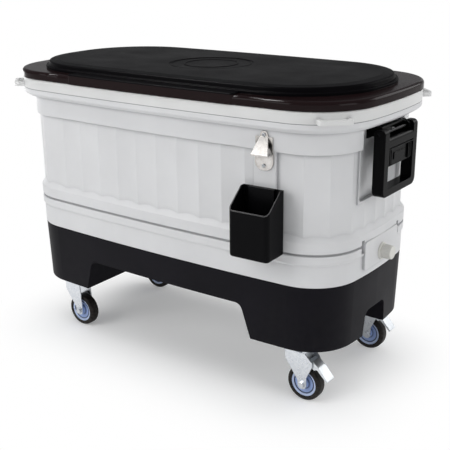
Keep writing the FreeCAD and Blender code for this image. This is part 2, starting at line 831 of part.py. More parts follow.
def make_outer_shell():
    """The fluted outer tub: rim bead, plain band, fluted wall, two ridges and the spigot into the base."""
    body = new_body("shell_walls")
    inner = lower_inset + lower_wall
    core = flute_floor_inset + flute_lap
    slope_end_z = ridge_top_z + scallop_height * (core - ridge_inset) / (crest_inset - ridge_inset)
    swept(body, rim_plan, "wall", [
        (spigot_inset, deck_top_z + part_gap),
        (spigot_inset, base_top_z + part_gap),
        (lower_inset, base_top_z + part_gap, edge_round),
        (lower_inset, low_ridge_z - ridge_slope, crest_round),
        (ridge_inset, low_ridge_z, band_round),
        (ridge_inset, groove_z, edge_round),
        (ridge_inset + groove_depth, groove_z + groove_height * groove_flank),
        (ridge_inset + groove_depth, groove_z + groove_height * (1 - groove_flank)),
        (ridge_inset, high_ridge_z, edge_round),
        (ridge_inset, ridge_top_z, crest_round),
        (core, slope_end_z),
        (core, band_low_z),
        (band_inset, band_low_z, band_round),
        (band_inset, band_high_z, band_round),
        (rim_inset + rim_cove, band_high_z + rim_cove_rise, band_round),
        (rim_inset, band_high_z + rim_bead_rise, rim_bead_round),
        (rim_inset, rim_split_z, edge_round),
        (wall_inner_inset, rim_split_z),
        (wall_inner_inset, flute_low_z),
        (inner, ridge_top_z),
        (inner, deck_top_z + part_gap),
    ])
    floor = rim_plan.sketch(body, "floor", spigot_inset + skin / 2, deck_top_z + part_gap)
    pad(body, floor, skin)

    flutes = doc.addObject("Part::Feature", "flute_ring")
    flutes_low_z = flute_low_z - scallop_height / 2
    rise = Vector(0, 0, (band_low_z - flutes_low_z + flute_lap).value)
    inside = rim_plan.wire((core + flute_lap).value, 0)
    flutes.Shape = Part.Face(flute_wire()).extrude(rise).cut(Part.Face(inside).extrude(rise))
    place(flutes, 0, 0, flutes_low_z)

    pad_body = new_body("accessory_pad")
    sketch = new_sketch(pad_body, "plan", "XY_Plane", ridge_top_z - lap)
    add_outline(sketch, [(-accessory_pad_half, seat_gap), (accessory_pad_half, seat_gap),
                         (accessory_pad_half, flute_floor_inset - band_inset + flute_lap * 1.5),
                         (-accessory_pad_half, flute_floor_inset - band_inset + flute_lap * 1.5)])
    pad(pad_body, sketch, band_low_z - ridge_top_z + lap + cut_over)
    place(pad_body, accessory_x, pad_y, 0, PAD_TURN)

    panel_x = drain_panel_x()
    drain_panel = new_body("drain_panel")
    sketch = new_sketch(drain_panel, "outline", "YZ_Plane", panel_x - skin * 3)
    panel_low_z = drain_z - drain_flange_radius - drain_panel_margin
    panel_top_z = high_ridge_z + drain_panel_margin
    add_outline(sketch, [(-drain_panel_half, panel_low_z, drain_panel_round),
                         (drain_panel_half, panel_low_z, drain_panel_round),
                         (drain_panel_half, panel_top_z, drain_panel_round),
                         (-drain_panel_half, panel_top_z, drain_panel_round)])
    pad(drain_panel, sketch, skin * 3)
    rounded(drain_panel, drain_panel_edge, lambda edge: edge.BoundBox.XMin > panel_x.value - CLOSE)
    backs = []
    recesses = []
    for side, way in (("right", 1), ("left", -1)):
        low_x = recess_face - skin if way > 0 else -(recess_face + recess_depth / 2)
        high_x = recess_face + recess_depth / 2 if way > 0 else -(recess_face - skin)
        backs.append(box(f"recess_back_{side}",
                         (low_x, -recess_half - skin, band_high_z - recess_height - skin),
                         (high_x, recess_half + skin, band_high_z + lap)))
        recess = new_body(f"handle_recess_{side}")
        opening = new_sketch(recess, "opening", "YZ_Plane", recess_face if way > 0 else -half_length)
        recess_top = band_high_z - recess_top_drop
        add_outline(opening, [(-recess_half, band_high_z - recess_height, recess_low_round),
                              (recess_half, band_high_z - recess_height, recess_low_round),
                              (recess_half, recess_top, recess_top_round),
                              (-recess_half, recess_top, recess_top_round)])
        pad(recess, opening, half_length - recess_face)
        recesses.append(recess)
    slots = [box(f"drain_slot_{index}",
                 (panel_x - drain_slot, drain_panel_half * way + (0 if way > 0 else -drain_slot),
                  low_ridge_z + drain_slot_low),
                 (panel_x + drain_panel_margin, drain_panel_half * way + (drain_slot if way > 0 else 0),
                  high_ridge_z + drain_slot_high))
             for index, way in ((1, -1), (2, 1))]
    whole = fused("shell_blank", [body, flutes, pad_body, drain_panel] + backs)
    holes = shell_holes()
    openings = group("shell_openings", recesses + slots + holes)
    keep("outer_shell", cut("outer_shell", whole, openings))


def drain_panel_x():
    """Return where the flat panel round the drain stands, just proud of the ridges."""
    return half_length - ridge_inset + drain_panel_proud


def shell_holes():
    """Return the round cutters for the drain and the screws in the outer shell."""
    reach = half_length - liner_outer_inset
    holes = [cylinder("shell_drain_hole", drain_tube_radius + seat_gap, half_length - reach,
                      (reach, 0, drain_z),
                      Vector(1, 0, 0))]
    for index, (along, z) in enumerate(front_screw_spots()):
        holes.append(cylinder(f"front_screw_hole_{index}", screw_radius + seat_gap, screw_length + hole_spare,
                              on_pad(along, cut_over, z), PAD_IN))
    for index, (x, y, z, way) in enumerate(bracket_screw_spots()):
        holes.append(cylinder(f"bracket_screw_hole_{index}", screw_radius + seat_gap,
                              screw_length + hole_spare,
                              (x, y, z), Vector(-way, 0, 0)))
    for index, (x, y) in enumerate(base_screw_spots()):
        holes.append(cylinder(f"floor_screw_hole_{index}", screw_radius + seat_gap, skin * 2,
                              (x, y, deck_top_z - cut_over), UP))
    return holes


def on_pad(along, out, z):
    """Return a place given along the accessory pad's face, out from it and up."""
    along, out = Size.of(along), Size.of(out)
    return (accessory_x + along * pad_cosine + out * pad_sine, pad_y + along * pad_sine - out * pad_cosine, z)


def front_screw_spots():
    """Return where the opener's and then the hanger's screws go: along the pad's face and up."""
    top = opener_top - opener_screw_drop
    bottom = opener_top - opener_length + opener_screw_rise
    hanger = catcher_top - catcher_wall - part_gap - hanger_height / 2
    return [(Size.of(0), top), (Size.of(0), bottom), (-hanger_screw_half, hanger),
            (hanger_screw_half, hanger)]


def bracket_screw_spots():
    """Return the seats of the screws of both handle brackets, in the recess faces."""
    rows = []
    for way in SIDES:
        for y in (-bracket_screw_half, bracket_screw_half):
            rows.append((recess_face * way, y, pivot_z, way))
    return rows


def base_screw_spots():
    """Return the places of the screws between the base's deck and the shell's floor."""
    return [(base_screw_x * right, base_screw_y * back) for right in SIDES for back in SIDES]


def make_inner_liner():
    """The food liner: its flange is the upper half of the rim and carries four tie-down loops."""
    body = new_body("liner_walls")
    foot = liner_outer_inset + liner_draft
    swept(body, rim_plan, "wall", [
        (rim_inset, rim_split_z, liner_lip_round),
        (rim_inset, rim_top_z, crest_round),
        (cavity_inset, rim_top_z, liner_mouth_round),
        (foot + skin, liner_floor_z, foot_round),
        (foot + skin + floor_ring, liner_floor_z),
        (foot + skin + floor_ring, liner_floor_z - skin),
        (foot, liner_floor_z - skin, foot_round),
        (liner_outer_inset, rim_top_z - skin),
        (rim_inset + skin, rim_top_z - skin),
        (rim_inset + skin, rim_split_z),
    ])
    floor = rim_plan.sketch(body, "floor", foot + skin + floor_ring - lap, liner_floor_z - skin)
    pad(body, floor, skin)
    corner = rim_plan.centres()[2]
    loops = []
    for index, (right_way, back_way) in enumerate(((1, 1), (-1, 1), (-1, -1), (1, -1))):
        loop = new_body(f"loop_{index + 1}")
        sketch = new_sketch(loop, "plan", "XY_Plane")
        root = corner_round - rim_inset - loop_root
        tip = corner_round + loop_reach - rim_inset
        half = loop_length / 2
        add_outline(sketch, [(root, -half), (tip, -half, loop_round), (tip, half, loop_round), (root, half)])
        add_outline(sketch, [(root + lap, loop_bar - half),
                             (tip - loop_bar, loop_bar - half, loop_inner_round),
                             (tip - loop_bar, half - loop_bar, loop_inner_round),
                             (root + lap, half - loop_bar)])
        pad(loop, sketch, loop_height)
        turn = Rotation(UP, 45 + 90 * index)
        place(loop, corner.x * right_way, -corner.y * back_way, rim_split_z + loop_rise, turn)
        loops.append(loop)
    whole = fused("liner_blank", [body] + loops)
    reach = half_length - cavity_inset - liner_draft * 2
    drain = cylinder("liner_drain_hole", drain_tube_radius + seat_gap, liner_draft * 3 + skin,
                     (reach, 0, drain_z), Vector(1, 0, 0))
    keep("inner_liner", cut("inner_liner", whole, drain))


def make_foam():
    """The insulation between the shell and the liner."""
    body = new_body("foam_walls")
    outer = wall_inner_inset + part_gap
    low_outer = lower_inset + lower_wall + part_gap
    foot = liner_outer_inset + liner_draft - part_gap
    low = deck_top_z + skin + part_gap * 2
    swept(body, rim_plan, "wall", [
        (low_outer, low), (low_outer, ridge_top_z - foam_shoulder), (outer, flute_low_z + part_gap),
        (outer, rim_split_z - lap), (liner_outer_inset - part_gap, rim_split_z - lap),
        (foot, liner_floor_z - skin - part_gap), (foot + floor_ring, liner_floor_z - skin - part_gap),
        (foot + floor_ring, low),
    ])
    slab = rim_plan.sketch(body, "slab", foot + floor_ring - lap, low)
    pad(body, slab, foam_floor)
    foam_face = recess_face - skin - part_gap
    tools = []
    for side, way in (("right", 1), ("left", -1)):
        low_x = foam_face if way > 0 else -half_length
        high_x = half_length if way > 0 else -foam_face
        reach = recess_half + skin + part_gap
        tools.append(box(f"foam_recess_{side}",
                         (low_x, -reach, band_high_z - recess_height - skin - part_gap),
                         (high_x, reach, rim_split_z)))
    reach = half_length - cavity_inset - liner_draft * 2
    tools.append(cylinder("foam_drain_hole", drain_tube_radius + seat_gap, rim_inset + cavity_inset,
                          (reach, 0, drain_z), Vector(1, 0, 0)))
    for index, (along, z) in enumerate(front_screw_spots()):
        tools.append(cylinder(f"foam_front_screw_{index}", screw_radius * 2, screw_length + hole_spare,
                              on_pad(along, 0, z), PAD_IN))
    for index, (x, y, z, way) in enumerate(bracket_screw_spots()):
        tools.append(cylinder(f"foam_bracket_screw_{index}", screw_radius * 2, screw_length + hole_spare,
                              (x, y, z),
                              Vector(-way, 0, 0)))
    for index, (x, y) in enumerate(base_screw_spots()):
        tools.append(cylinder(f"foam_floor_screw_{index}", screw_radius * 2, screw_length + skin + lap,
                              (x, y, deck_top_z), UP))
    keep("insulation_foam", cut("insulation_foam", body, group("foam_openings", tools)))


def leg_corners(inset, x, y, round_radius):
    """Return one leg's plan outline as a wire: two straight inner sides and the tub's own outer arcs."""
    front, right, corner = rim_plan.centres()
    front_turn, right_turn = rim_plan.angles()
    front_radius = side_bow.value - inset
    right_radius = end_bow.value - inset
    low_turn = -math.acos((x - front.x) / front_radius)
    high_turn = -math.asin((y - right.y) / right_radius)
    begin = front + Vector(math.cos(low_turn), math.sin(low_turn), 0) * front_radius
    finish = right + Vector(math.cos(high_turn), math.sin(high_turn), 0) * right_radius
    bulge = round_radius * (1 - math.sqrt(0.5))
    return Part.Wire([
        Part.ArcOfCircle(Part.Circle(front, UP, front_radius), low_turn, front_turn).toShape(),
        Part.ArcOfCircle(Part.Circle(corner, UP, corner_round.value - inset), front_turn,
                         right_turn).toShape(),
        Part.ArcOfCircle(Part.Circle(right, UP, right_radius), right_turn, high_turn).toShape(),
        Part.LineSegment(finish, Vector(x + round_radius, -y, 0)).toShape(),
        Part.Arc(Vector(x + round_radius, -y, 0),
                 Vector(x + bulge, -y - bulge, 0),
                 Vector(x, -y - round_radius, 0)).toShape(),
        Part.LineSegment(Vector(x, -y - round_radius, 0), begin).toShape(),
    ])


def leg_solids(name, inset, x, y, round_radius, low, high):
    """Return a leg-shaped block at each corner."""
    face = Part.Face(leg_corners(inset.value, x.value, y.value, round_radius))
    front_right = face.extrude(Vector(0, 0, high.value - low.value))
    front_left = front_right.mirror(Vector(), Vector(1, 0, 0))
    legs = []
    for index, (shape, turn) in enumerate(((front_right, 0), (front_left, 0), (front_left, 180),
                                           (front_right, 180))):
        leg = doc.addObject("Part::Feature", f"{name}_{index + 1}")
        leg.Shape = shape
        place(leg, 0, 0, low, Rotation(UP, turn))
        legs.append(leg)
    return legs


def make_base():
    """The dark rolling base: an apron with arches between four hollow legs, under a deck."""
    body = new_body("base_apron")
    swept(body, rim_plan, "apron", [
        (base_sole_inset, sole_z, band_round),
        (base_top_inset, base_top_z, base_lip_round),
        (base_top_inset + base_wall, base_top_z),
        (base_sole_inset + base_wall, sole_z),
    ])
    deck = rim_plan.sketch(body, "deck", base_top_inset + base_wall * 0.8, deck_top_z - deck_thickness)
    pad(body, deck, deck_thickness)
    inner_x = side_arch_half - side_arch_lean - base_wall * 2
    inner_y = end_arch_half - end_arch_lean - base_wall
    inset = base_sole_inset + base_wall * 0.5
    legs = leg_solids("leg", inset, inner_x, inner_y, arch_round.value, sole_z,
                      deck_top_z - deck_thickness / 2)
    blank = fused("base_blank", [body] + legs)

    side_arch = new_body("side_arch")
    sketch = new_sketch(side_arch, "outline", "XZ_Plane")
    top = side_arch_half - side_arch_lean
    add_outline(sketch, [(-side_arch_half, sole_z - cut_over), (side_arch_half, sole_z - cut_over),
                         (top, sole_z + side_arch_height, arch_round),
                         (-top, sole_z + side_arch_height, arch_round)])
    pad(side_arch, sketch, rim_width, centred=True)
    end_arch = new_body("end_arch")
    sketch = new_sketch(end_arch, "outline", "YZ_Plane")
    top = end_arch_half - end_arch_lean
    add_outline(sketch, [(-end_arch_half, sole_z - cut_over), (end_arch_half, sole_z - cut_over),
                         (top, sole_z + end_arch_height, arch_round),
                         (-top, sole_z + end_arch_height, arch_round)])
    pad(end_arch, sketch, rim_length, centred=True)
    hollows = leg_solids("leg_hollow", base_sole_inset + base_wall * 1.5, side_arch_half + base_wall,
                         end_arch_half + base_wall, arch_round.value, sole_z + sole_thickness,
                         deck_top_z + cut_over)
    holes = []
    for name, x, y in mirror_pairs(caster_x, caster_y):
        for index, (right_way, back_way) in enumerate(((1, 1), (1, -1), (-1, 1), (-1, -1))):
            holes.append(cylinder(f"caster_hole_{name}_{index}", bolt_radius + seat_gap,
                                  sole_thickness + cut_over * 2,
                                  (x + bolt_spacing_x / 2 * right_way, y + bolt_spacing_y / 2 * back_way,
                                   sole_z - cut_over), UP))
    for index, (x, y) in enumerate(base_screw_spots()):
        holes.append(cylinder(f"deck_screw_hole_{index}", screw_radius + seat_gap,
                              deck_thickness + cut_over * 2,
                              (x, y, deck_top_z - deck_thickness - cut_over), UP))
    tools = fused("base_openings", [side_arch, end_arch])
    arched = cut("base_arched", blank, tools)
    keep("rolling_base", cut("rolling_base", arched, group("base_hollows", hollows + holes)))
    fixing = screw("base_screw", screw_length)
    turn = Rotation(Vector(1, 0, 0), 180)
    keep("base_screws", copies("base_screws", fixing,
                               [(x, y, deck_top_z - deck_thickness, turn) for x, y in base_screw_spots()]))


def make_lid():
    """The lift-off lid: an outer shell with a stepped dome, its foam and the liner that plugs the tub."""
    body = new_body("lid_skin")
    plate_low = lid_ring_z - skin
    swept(body, rim_plan, "ring", [
        (0, lid_low_z, base_lip_round),
        (0, lid_ring_z, lid_ring_round),
        (lid_ring_width, lid_ring_z),
        (lid_ring_width, plate_low),
        (skin, plate_low),
        (skin, lid_low_z),
    ])
    plate = rim_plan.sketch(body, "plate", lid_ring_width - skin, plate_low)
    pad(body, plate, skin)
    well = dome_plan.sketch(body, "well", skin + cut_over, plate_low - cut_over)
    pocket(body, well, skin + cut_over * 2, reverse=True)
    swept(body, dome_plan, "dome", [
        (0, plate_low),
        (0, dome_step_z, band_round),
        (dome_step_inset, dome_step_z, edge_round),
        (dome_step_inset + dome_lean, lid_top_z - dome_crown, dome_round),
        (dome_step_inset + dome_slope, lid_top_z),
        (dome_step_inset + dome_slope, lid_top_z - skin),
        (dome_step_inset + skin + dome_lean, lid_top_z - skin - dome_lean),
        (dome_step_inset + skin, dome_step_z - skin),
        (skin + lap, dome_step_z - skin),
        (skin + lap, plate_low),
    ])
    crown = dome_plan.sketch(body, "crown", dome_step_inset + dome_slope - lap, lid_top_z - skin)
    pad(body, crown, skin)
    round_place = new_sketch(body, "round_place", "XY_Plane", lid_top_z)
    add_circle(round_place, 0, 0, round_place_radius)
    pocket(body, round_place, round_place_depth)
    lips = []
    for name, way in (("front", 1), ("rear", -1)):
        lip = new_body(f"lid_lip_{name}")
        sketch = new_sketch(lip, "plan", "XY_Plane", lid_low_z)
        back = dome_width / 2 - skin
        bow = lip_half_length.value ** 2 / (2 * side_bow.value)
        add_lip_outline(sketch, lip_half_length, half_width + lip_proud, back, bow)
        lip_top = dome_step_z - lip_drop
        pad(lip, sketch, lip_top - lid_low_z)
        under = new_sketch(lip, "under", "XY_Plane", lid_low_z)
        wall = half_width - skin * 2
        add_outline(under, [(-half_length, -wall), (half_length, -wall), (half_length, skin * 3 - back),
                            (-half_length, skin * 3 - back)])
        pocket(lip, under, plate_low - lid_low_z, reverse=True)
        rounded(lip, lip_end_round, lambda edge: edge.BoundBox.ZLength > lip_end_round.value
                and edge.CenterOfMass.y < -wall.value and edge.BoundBox.XLength < CLOSE)
        rounded(lip, lip_edge_round, lambda edge: edge.BoundBox.ZMin > lip_top.value - CLOSE
                and edge.BoundBox.YMin < -back.value - 1)
        place(lip, 0, 0, 0, Rotation(UP, 0 if way > 0 else 180))
        lips.append(lip)
    keep("lid_shell", fused("lid_shell", [body] + lips))

    liner = new_body("lid_liner")
    rest = rim_inset + skin * 2
    plug = cavity_inset + plug_gap
    plug_low = lid_low_z - plug_depth
    swept(liner, rim_plan, "plug", [
        (rest, lid_low_z), (rest, lid_low_z + skin), (plug + skin + plug_lean, lid_low_z + skin),
        (plug + skin + plug_lean, plug_low + skin), (plug + skin + plug_floor_ring, plug_low + skin),
        (plug + skin + plug_floor_ring, plug_low), (plug + plug_lean, plug_low, plug_round),
        (plug, lid_low_z),
    ])
    floor = rim_plan.sketch(liner, "floor", plug + skin + plug_floor_ring - lap, plug_low)
    pad(liner, floor, skin)
    keep("lid_liner", liner)

    foam = new_body("lid_foam")
    low = rim_plan.sketch(foam, "plug", plug + skin + plug_lean + part_gap, plug_low + skin + part_gap)
    pad(foam, low, plate_low - plug_low - skin - part_gap * 2)
    high = dome_plan.sketch(foam, "dome", dome_step_inset + skin + part_gap + dome_lean,
                            plate_low - part_gap - lap)
    pad(foam, high, lid_top_z - plate_low - skin - dome_lean - cut_over - part_gap)
    keep("lid_foam", foam)


def add_lip_outline(sketch, half, front, back, bow):
    """Draw the lip's plan: a bowed front edge with round ends and a straight back."""
    inner = half - lip_end_lean
    left = Vector(-half.value, -front.value + bow, 0)
    right = Vector(half.value, -front.value + bow, 0)
    arc = sketch.addGeometry(Part.Arc(left, Vector(0, -front.value, 0), right), False)
    right_side = sketch.addGeometry(Part.LineSegment(right, Vector(inner.value, -back.value + bow, 0)), False)
    back_side = sketch.addGeometry(Part.LineSegment(Vector(inner.value, -back.value + bow, 0),
                                                    Vector(-inner.value, -back.value + bow, 0)), False)
    left_side = sketch.addGeometry(Part.LineSegment(Vector(-inner.value, -back.value + bow, 0), left), False)
    geometry = sketch.Geometry[arc]
    starts_left = geometry.StartPoint.x < 0
    rules = Constraints(sketch)
    rules.add("Coincident", arc, 2 if starts_left else 1, right_side, 1)
    rules.add("Coincident", right_side, 2, back_side, 1)
    rules.add("Coincident", back_side, 2, left_side, 1)
    rules.add("Coincident", left_side, 2, arc, 1 if starts_left else 2)
    rules.measure("DistanceX", right_side, 1, half)
    rules.measure("DistanceY", right_side, 1, -front + bow)
    rules.measure("DistanceX", left_side, 2, -half)
    rules.measure("DistanceY", left_side, 2, -front + bow)
    rules.measure("DistanceX", back_side, 1, inner)
    rules.measure("DistanceY", back_side, 1, -back + bow)
    rules.measure("DistanceX", back_side, 2, -inner)
    rules.measure("DistanceY", back_side, 2, -back + bow)
    rules.measure("Radius", arc, side_bow + lip_proud)
    rules.close()


def make_drain():
    """The drain: a flanged tube through the wall, its inside nut, and an outside screw cap with a gasket."""
    wall_x = drain_panel_x() + part_gap
    inner_x = half_length - cavity_inset - liner_draft
    tube_end = inner_x - drain_tail
    fitting = new_body("drain_fitting")
    sketch = new_sketch(fitting, "profile", "XZ_Plane")
    outer_end = wall_x + drain_flange + drain_spigot
    add_outline(sketch, [(tube_end, drain_bore_radius), (outer_end, drain_bore_radius),
                         (outer_end, drain_tube_radius), (wall_x + drain_flange, drain_tube_radius),
                         (wall_x + drain_flange, drain_flange_radius, edge_round),
                         (wall_x, drain_flange_radius),
                         (wall_x, drain_tube_radius), (tube_end, drain_tube_radius)])
    revolved(fitting, sketch, "H_Axis")
    place(fitting, 0, 0, drain_z)
    keep("drain_fitting", fitting)

    nut = new_body("drain_nut")
    sketch = new_sketch(nut, "profile", "YZ_Plane", inner_x - part_gap - drain_nut_height)
    add_hexagon(sketch, drain_tube_radius + drain_nut_wall)
    add_circle(sketch, 0, 0, drain_tube_radius + seat_gap)
    pad(nut, sketch, drain_nut_height)
    place(nut, 0, 0, drain_z)
    keep("drain_nut", nut)

    gasket = new_body("drain_gasket")
    sketch = new_sketch(gasket, "profile", "XZ_Plane")
    seat = outer_end + part_gap
    cap_bore = drain_tube_radius + part_gap
    add_outline(sketch, [(seat, drain_bore_radius), (seat + drain_gasket, drain_bore_radius),
                         (seat + drain_gasket, drain_tube_radius), (seat, drain_tube_radius)])
    revolved(gasket, sketch, "H_Axis")
    place(gasket, 0, 0, drain_z)
    keep("drain_gasket", gasket)

    cap = new_body("drain_cap")
    sketch = new_sketch(cap, "profile", "XZ_Plane")
    low_x = wall_x + drain_flange + part_gap * 2
    roof = seat + drain_gasket + part_gap
    add_outline(sketch, [(low_x, cap_bore), (roof, cap_bore), (roof, 0), (roof + drain_cap_wall, 0),
                         (roof + drain_cap_wall, drain_cap_radius, drain_cap_round),
                         (low_x, drain_cap_radius)])
    revolved(cap, sketch, "H_Axis")
    place(cap, 0, 0, drain_z)
    keep("drain_cap", cap)


def add_hexagon(sketch, radius):
    """Draw a hexagon about the sketch's origin from its corner radius."""
    root = math.sqrt(3) / 2
    add_outline(sketch, [(radius, 0), (radius * 0.5, radius * root), (radius * -0.5, radius * root),
                         (-radius, 0), (radius * -0.5, radius * -root), (radius * 0.5, radius * -root)])


def make_handles():
    """The two end handles, which hang from pins in brackets screwed into the recesses."""
    spots = []
    for side, way in (("right", 1), ("left", -1)):
        turn = END_TURN[side]
        keep(f"handle_bracket_{side}", make_bracket(side, turn))
        pin = new_body(f"handle_pin_{side}")
        sketch = new_sketch(pin, "profile", "XZ_Plane")
        add_circle(sketch, pivot_x, pivot_z, handle_pin_radius)
        pad(pin, sketch, handle_width - handle_pin_set_in * 2, centred=True)
        place(pin, 0, 0, 0, turn)
        keep(f"handle_pin_{side}", pin)
        keep(f"side_handle_{side}", make_handle(side, turn))
    for x, y, z, way in bracket_screw_spots():
        spots.append((x + bracket_plate * way, y, z, Rotation(UP, Vector(way, 0, 0))))
    fixing = screw("bracket_screw", screw_length)
    keep("handle_bracket_screws", copies("handle_bracket_screws", fixing, spots))


def make_bracket(side, turn):
    """One handle's bracket: a plate on the recess face, a flange over the pin and two ears that hold it."""
    bracket = new_body(f"handle_bracket_{side}")
    sketch = new_sketch(bracket, "profile", "XZ_Plane")
    low_z = pivot_z - bracket_height / 2
    top_z = pivot_z + ear_radius + bracket_plate
    flange_x = pivot_x - bracket_set_back
    add_outline(sketch, [(recess_face, low_z), (recess_face + bracket_plate, low_z),
                         (recess_face + bracket_plate, top_z - bracket_plate, band_round),
                         (flange_x, top_z - bracket_plate), (flange_x, top_z, edge_round),
                         (recess_face, top_z)])
    pad(bracket, sketch, bracket_length, centred=True)
    nose = ear_radius - ear_flat / 2
    for index, start in enumerate((-bracket_length / 2, bracket_length / 2 - ear_width)):
        ear = new_sketch(bracket, f"ear_{index}", "XZ_Plane", start)
        add_outline(ear, [(recess_face, pivot_z - ear_radius),
                          (pivot_x + ear_radius, pivot_z - ear_radius, nose),
                          (pivot_x + ear_radius, pivot_z + ear_radius, nose),
                          (recess_face, pivot_z + ear_radius)])
        pad(bracket, ear, ear_width)
    bore = new_sketch(bracket, "bore", "XZ_Plane")
    add_circle(bore, pivot_x, pivot_z, handle_pin_radius + seat_gap)
    pocket(bracket, bore, bracket_length * 2, centred=True)
    screw_holes = new_sketch(bracket, "screw_holes", "YZ_Plane", recess_face)
    for x, y, z, way in bracket_screw_spots()[:2]:
        add_circle(screw_holes, y, z, screw_radius + seat_gap)
    pocket(bracket, screw_holes, bracket_plate * 2, reverse=True)
    place(bracket, 0, 0, 0, turn)
    return bracket


def make_handle(side, turn):
    """One handle: two rails with round eyes, a finger window, a ribbed panel and a round bar."""
    handle = new_body(f"side_handle_{side}")
    outer_x = pivot_x + handle_front
    inner_x = outer_x - handle_depth
    low_z = pivot_z - handle_drop
    top_z = pivot_z + handle_eye
    half = handle_width / 2
    window_half = half - handle_rail
    window_low = low_z + handle_bar
    window_high = window_low + handle_window_height
    panel_high = window_high + handle_panel_height
    panel_x = outer_x - handle_panel_depth
    bar_top = pivot_z - ear_radius - part_gap * 2

    frame = new_sketch(handle, "frame", "YZ_Plane", inner_x)
    add_outline(frame, [(-half, low_z, handle_corner), (half, low_z, handle_corner), (half, top_z),
                        (-half, top_z)])
    pad(handle, frame, handle_depth)
    notch = new_sketch(handle, "bracket_notch", "YZ_Plane", inner_x)
    add_outline(notch, [(-window_half, bar_top), (window_half, bar_top), (window_half, top_z + cut_over),
                        (-window_half, top_z + cut_over)])
    pocket(handle, notch, handle_depth, reverse=True)
    window = new_sketch(handle, "window", "YZ_Plane", inner_x)
    add_outline(window, [(-window_half, window_low, foot_round), (window_half, window_low, foot_round),
                         (window_half, window_high), (-window_half, window_high)])
    pocket(handle, window, handle_depth, reverse=True)
    rounded(handle, handle_eye, lambda edge: edge.BoundBox.ZMin > top_z.value - CLOSE
            and edge.BoundBox.XLength < CLOSE)
    rounded(handle, handle_top_round, lambda edge: abs(edge.CenterOfMass.z - bar_top.value) < CLOSE
            and edge.BoundBox.XMin > outer_x.value - CLOSE)
    rounded(handle, handle_edge_round, lambda edge: edge.BoundBox.XMin > outer_x.value - CLOSE
            and on_frame_edge(edge, half.value, low_z.value))

    panel = new_sketch(handle, "panel", "YZ_Plane", outer_x)
    add_outline(panel, [(-window_half, window_high - cut_over), (window_half, window_high - cut_over),
                        (window_half, panel_high, crest_round), (-window_half, panel_high, crest_round)])
    pocket(handle, panel, handle_panel_depth)
    groove = new_sketch(handle, "groove", "YZ_Plane", outer_x)
    groove_low = panel_high + lap
    add_outline(groove, [(-window_half, groove_low), (window_half, groove_low),
                         (window_half, groove_low + handle_groove),
                         (-window_half, groove_low + handle_groove)])
    pocket(handle, groove, handle_groove)
    back = new_sketch(handle, "back", "YZ_Plane", inner_x)
    back_half = window_half + handle_back_side
    add_outline(back, [(-back_half, window_high + skin, handle_back_round),
                       (back_half, window_high + skin, handle_back_round),
                       (back_half, panel_high, handle_back_round),
                       (-back_half, panel_high, handle_back_round)])
    pocket(handle, back, handle_depth - handle_panel_depth - skin, reverse=True)
    ribs = new_sketch(handle, "ribs", "YZ_Plane", panel_x)
    for way in SIDES:
        for index in range(3):
            middle = (window_half - handle_rib_side - handle_rib_pitch * index) * way
            low, high = window_high + handle_rib, panel_high - handle_rib
            add_outline(ribs, [(middle - handle_rib / 2, low), (middle + handle_rib / 2, low),
                               (middle + handle_rib / 2, high), (middle - handle_rib / 2, high)])
    pad(handle, ribs, handle_panel_depth - label_height)
    label = new_sketch(handle, "label", "YZ_Plane", panel_x)
    label_z = (window_high + panel_high) / 2
    add_outline(label, [(-label_half_width, label_z - label_half_height, band_round),
                        (label_half_width, label_z - label_half_height, band_round),
                        (label_half_width, label_z + label_half_height, band_round),
                        (-label_half_width, label_z + label_half_height, band_round)])
    pad(handle, label, label_height)
    bore = new_sketch(handle, "bore", "XZ_Plane")
    add_circle(bore, pivot_x, pivot_z, handle_pin_radius + running_gap)
    pocket(handle, bore, handle_width * 2, centred=True)
    place(handle, 0, 0, 0, turn)
    return handle


def on_frame_edge(edge, half, low_z):
    """Tell whether an edge lies on the handle's outer outline, beside or below."""
    bounds = edge.BoundBox
    reach = handle_corner.value + CLOSE
    beside = min(abs(bounds.YMin), abs(bounds.YMax)) > half - reach and bounds.YLength < reach
    below = bounds.ZMax < low_z + reach and bounds.ZMin < low_z + CLOSE
    return beside or below


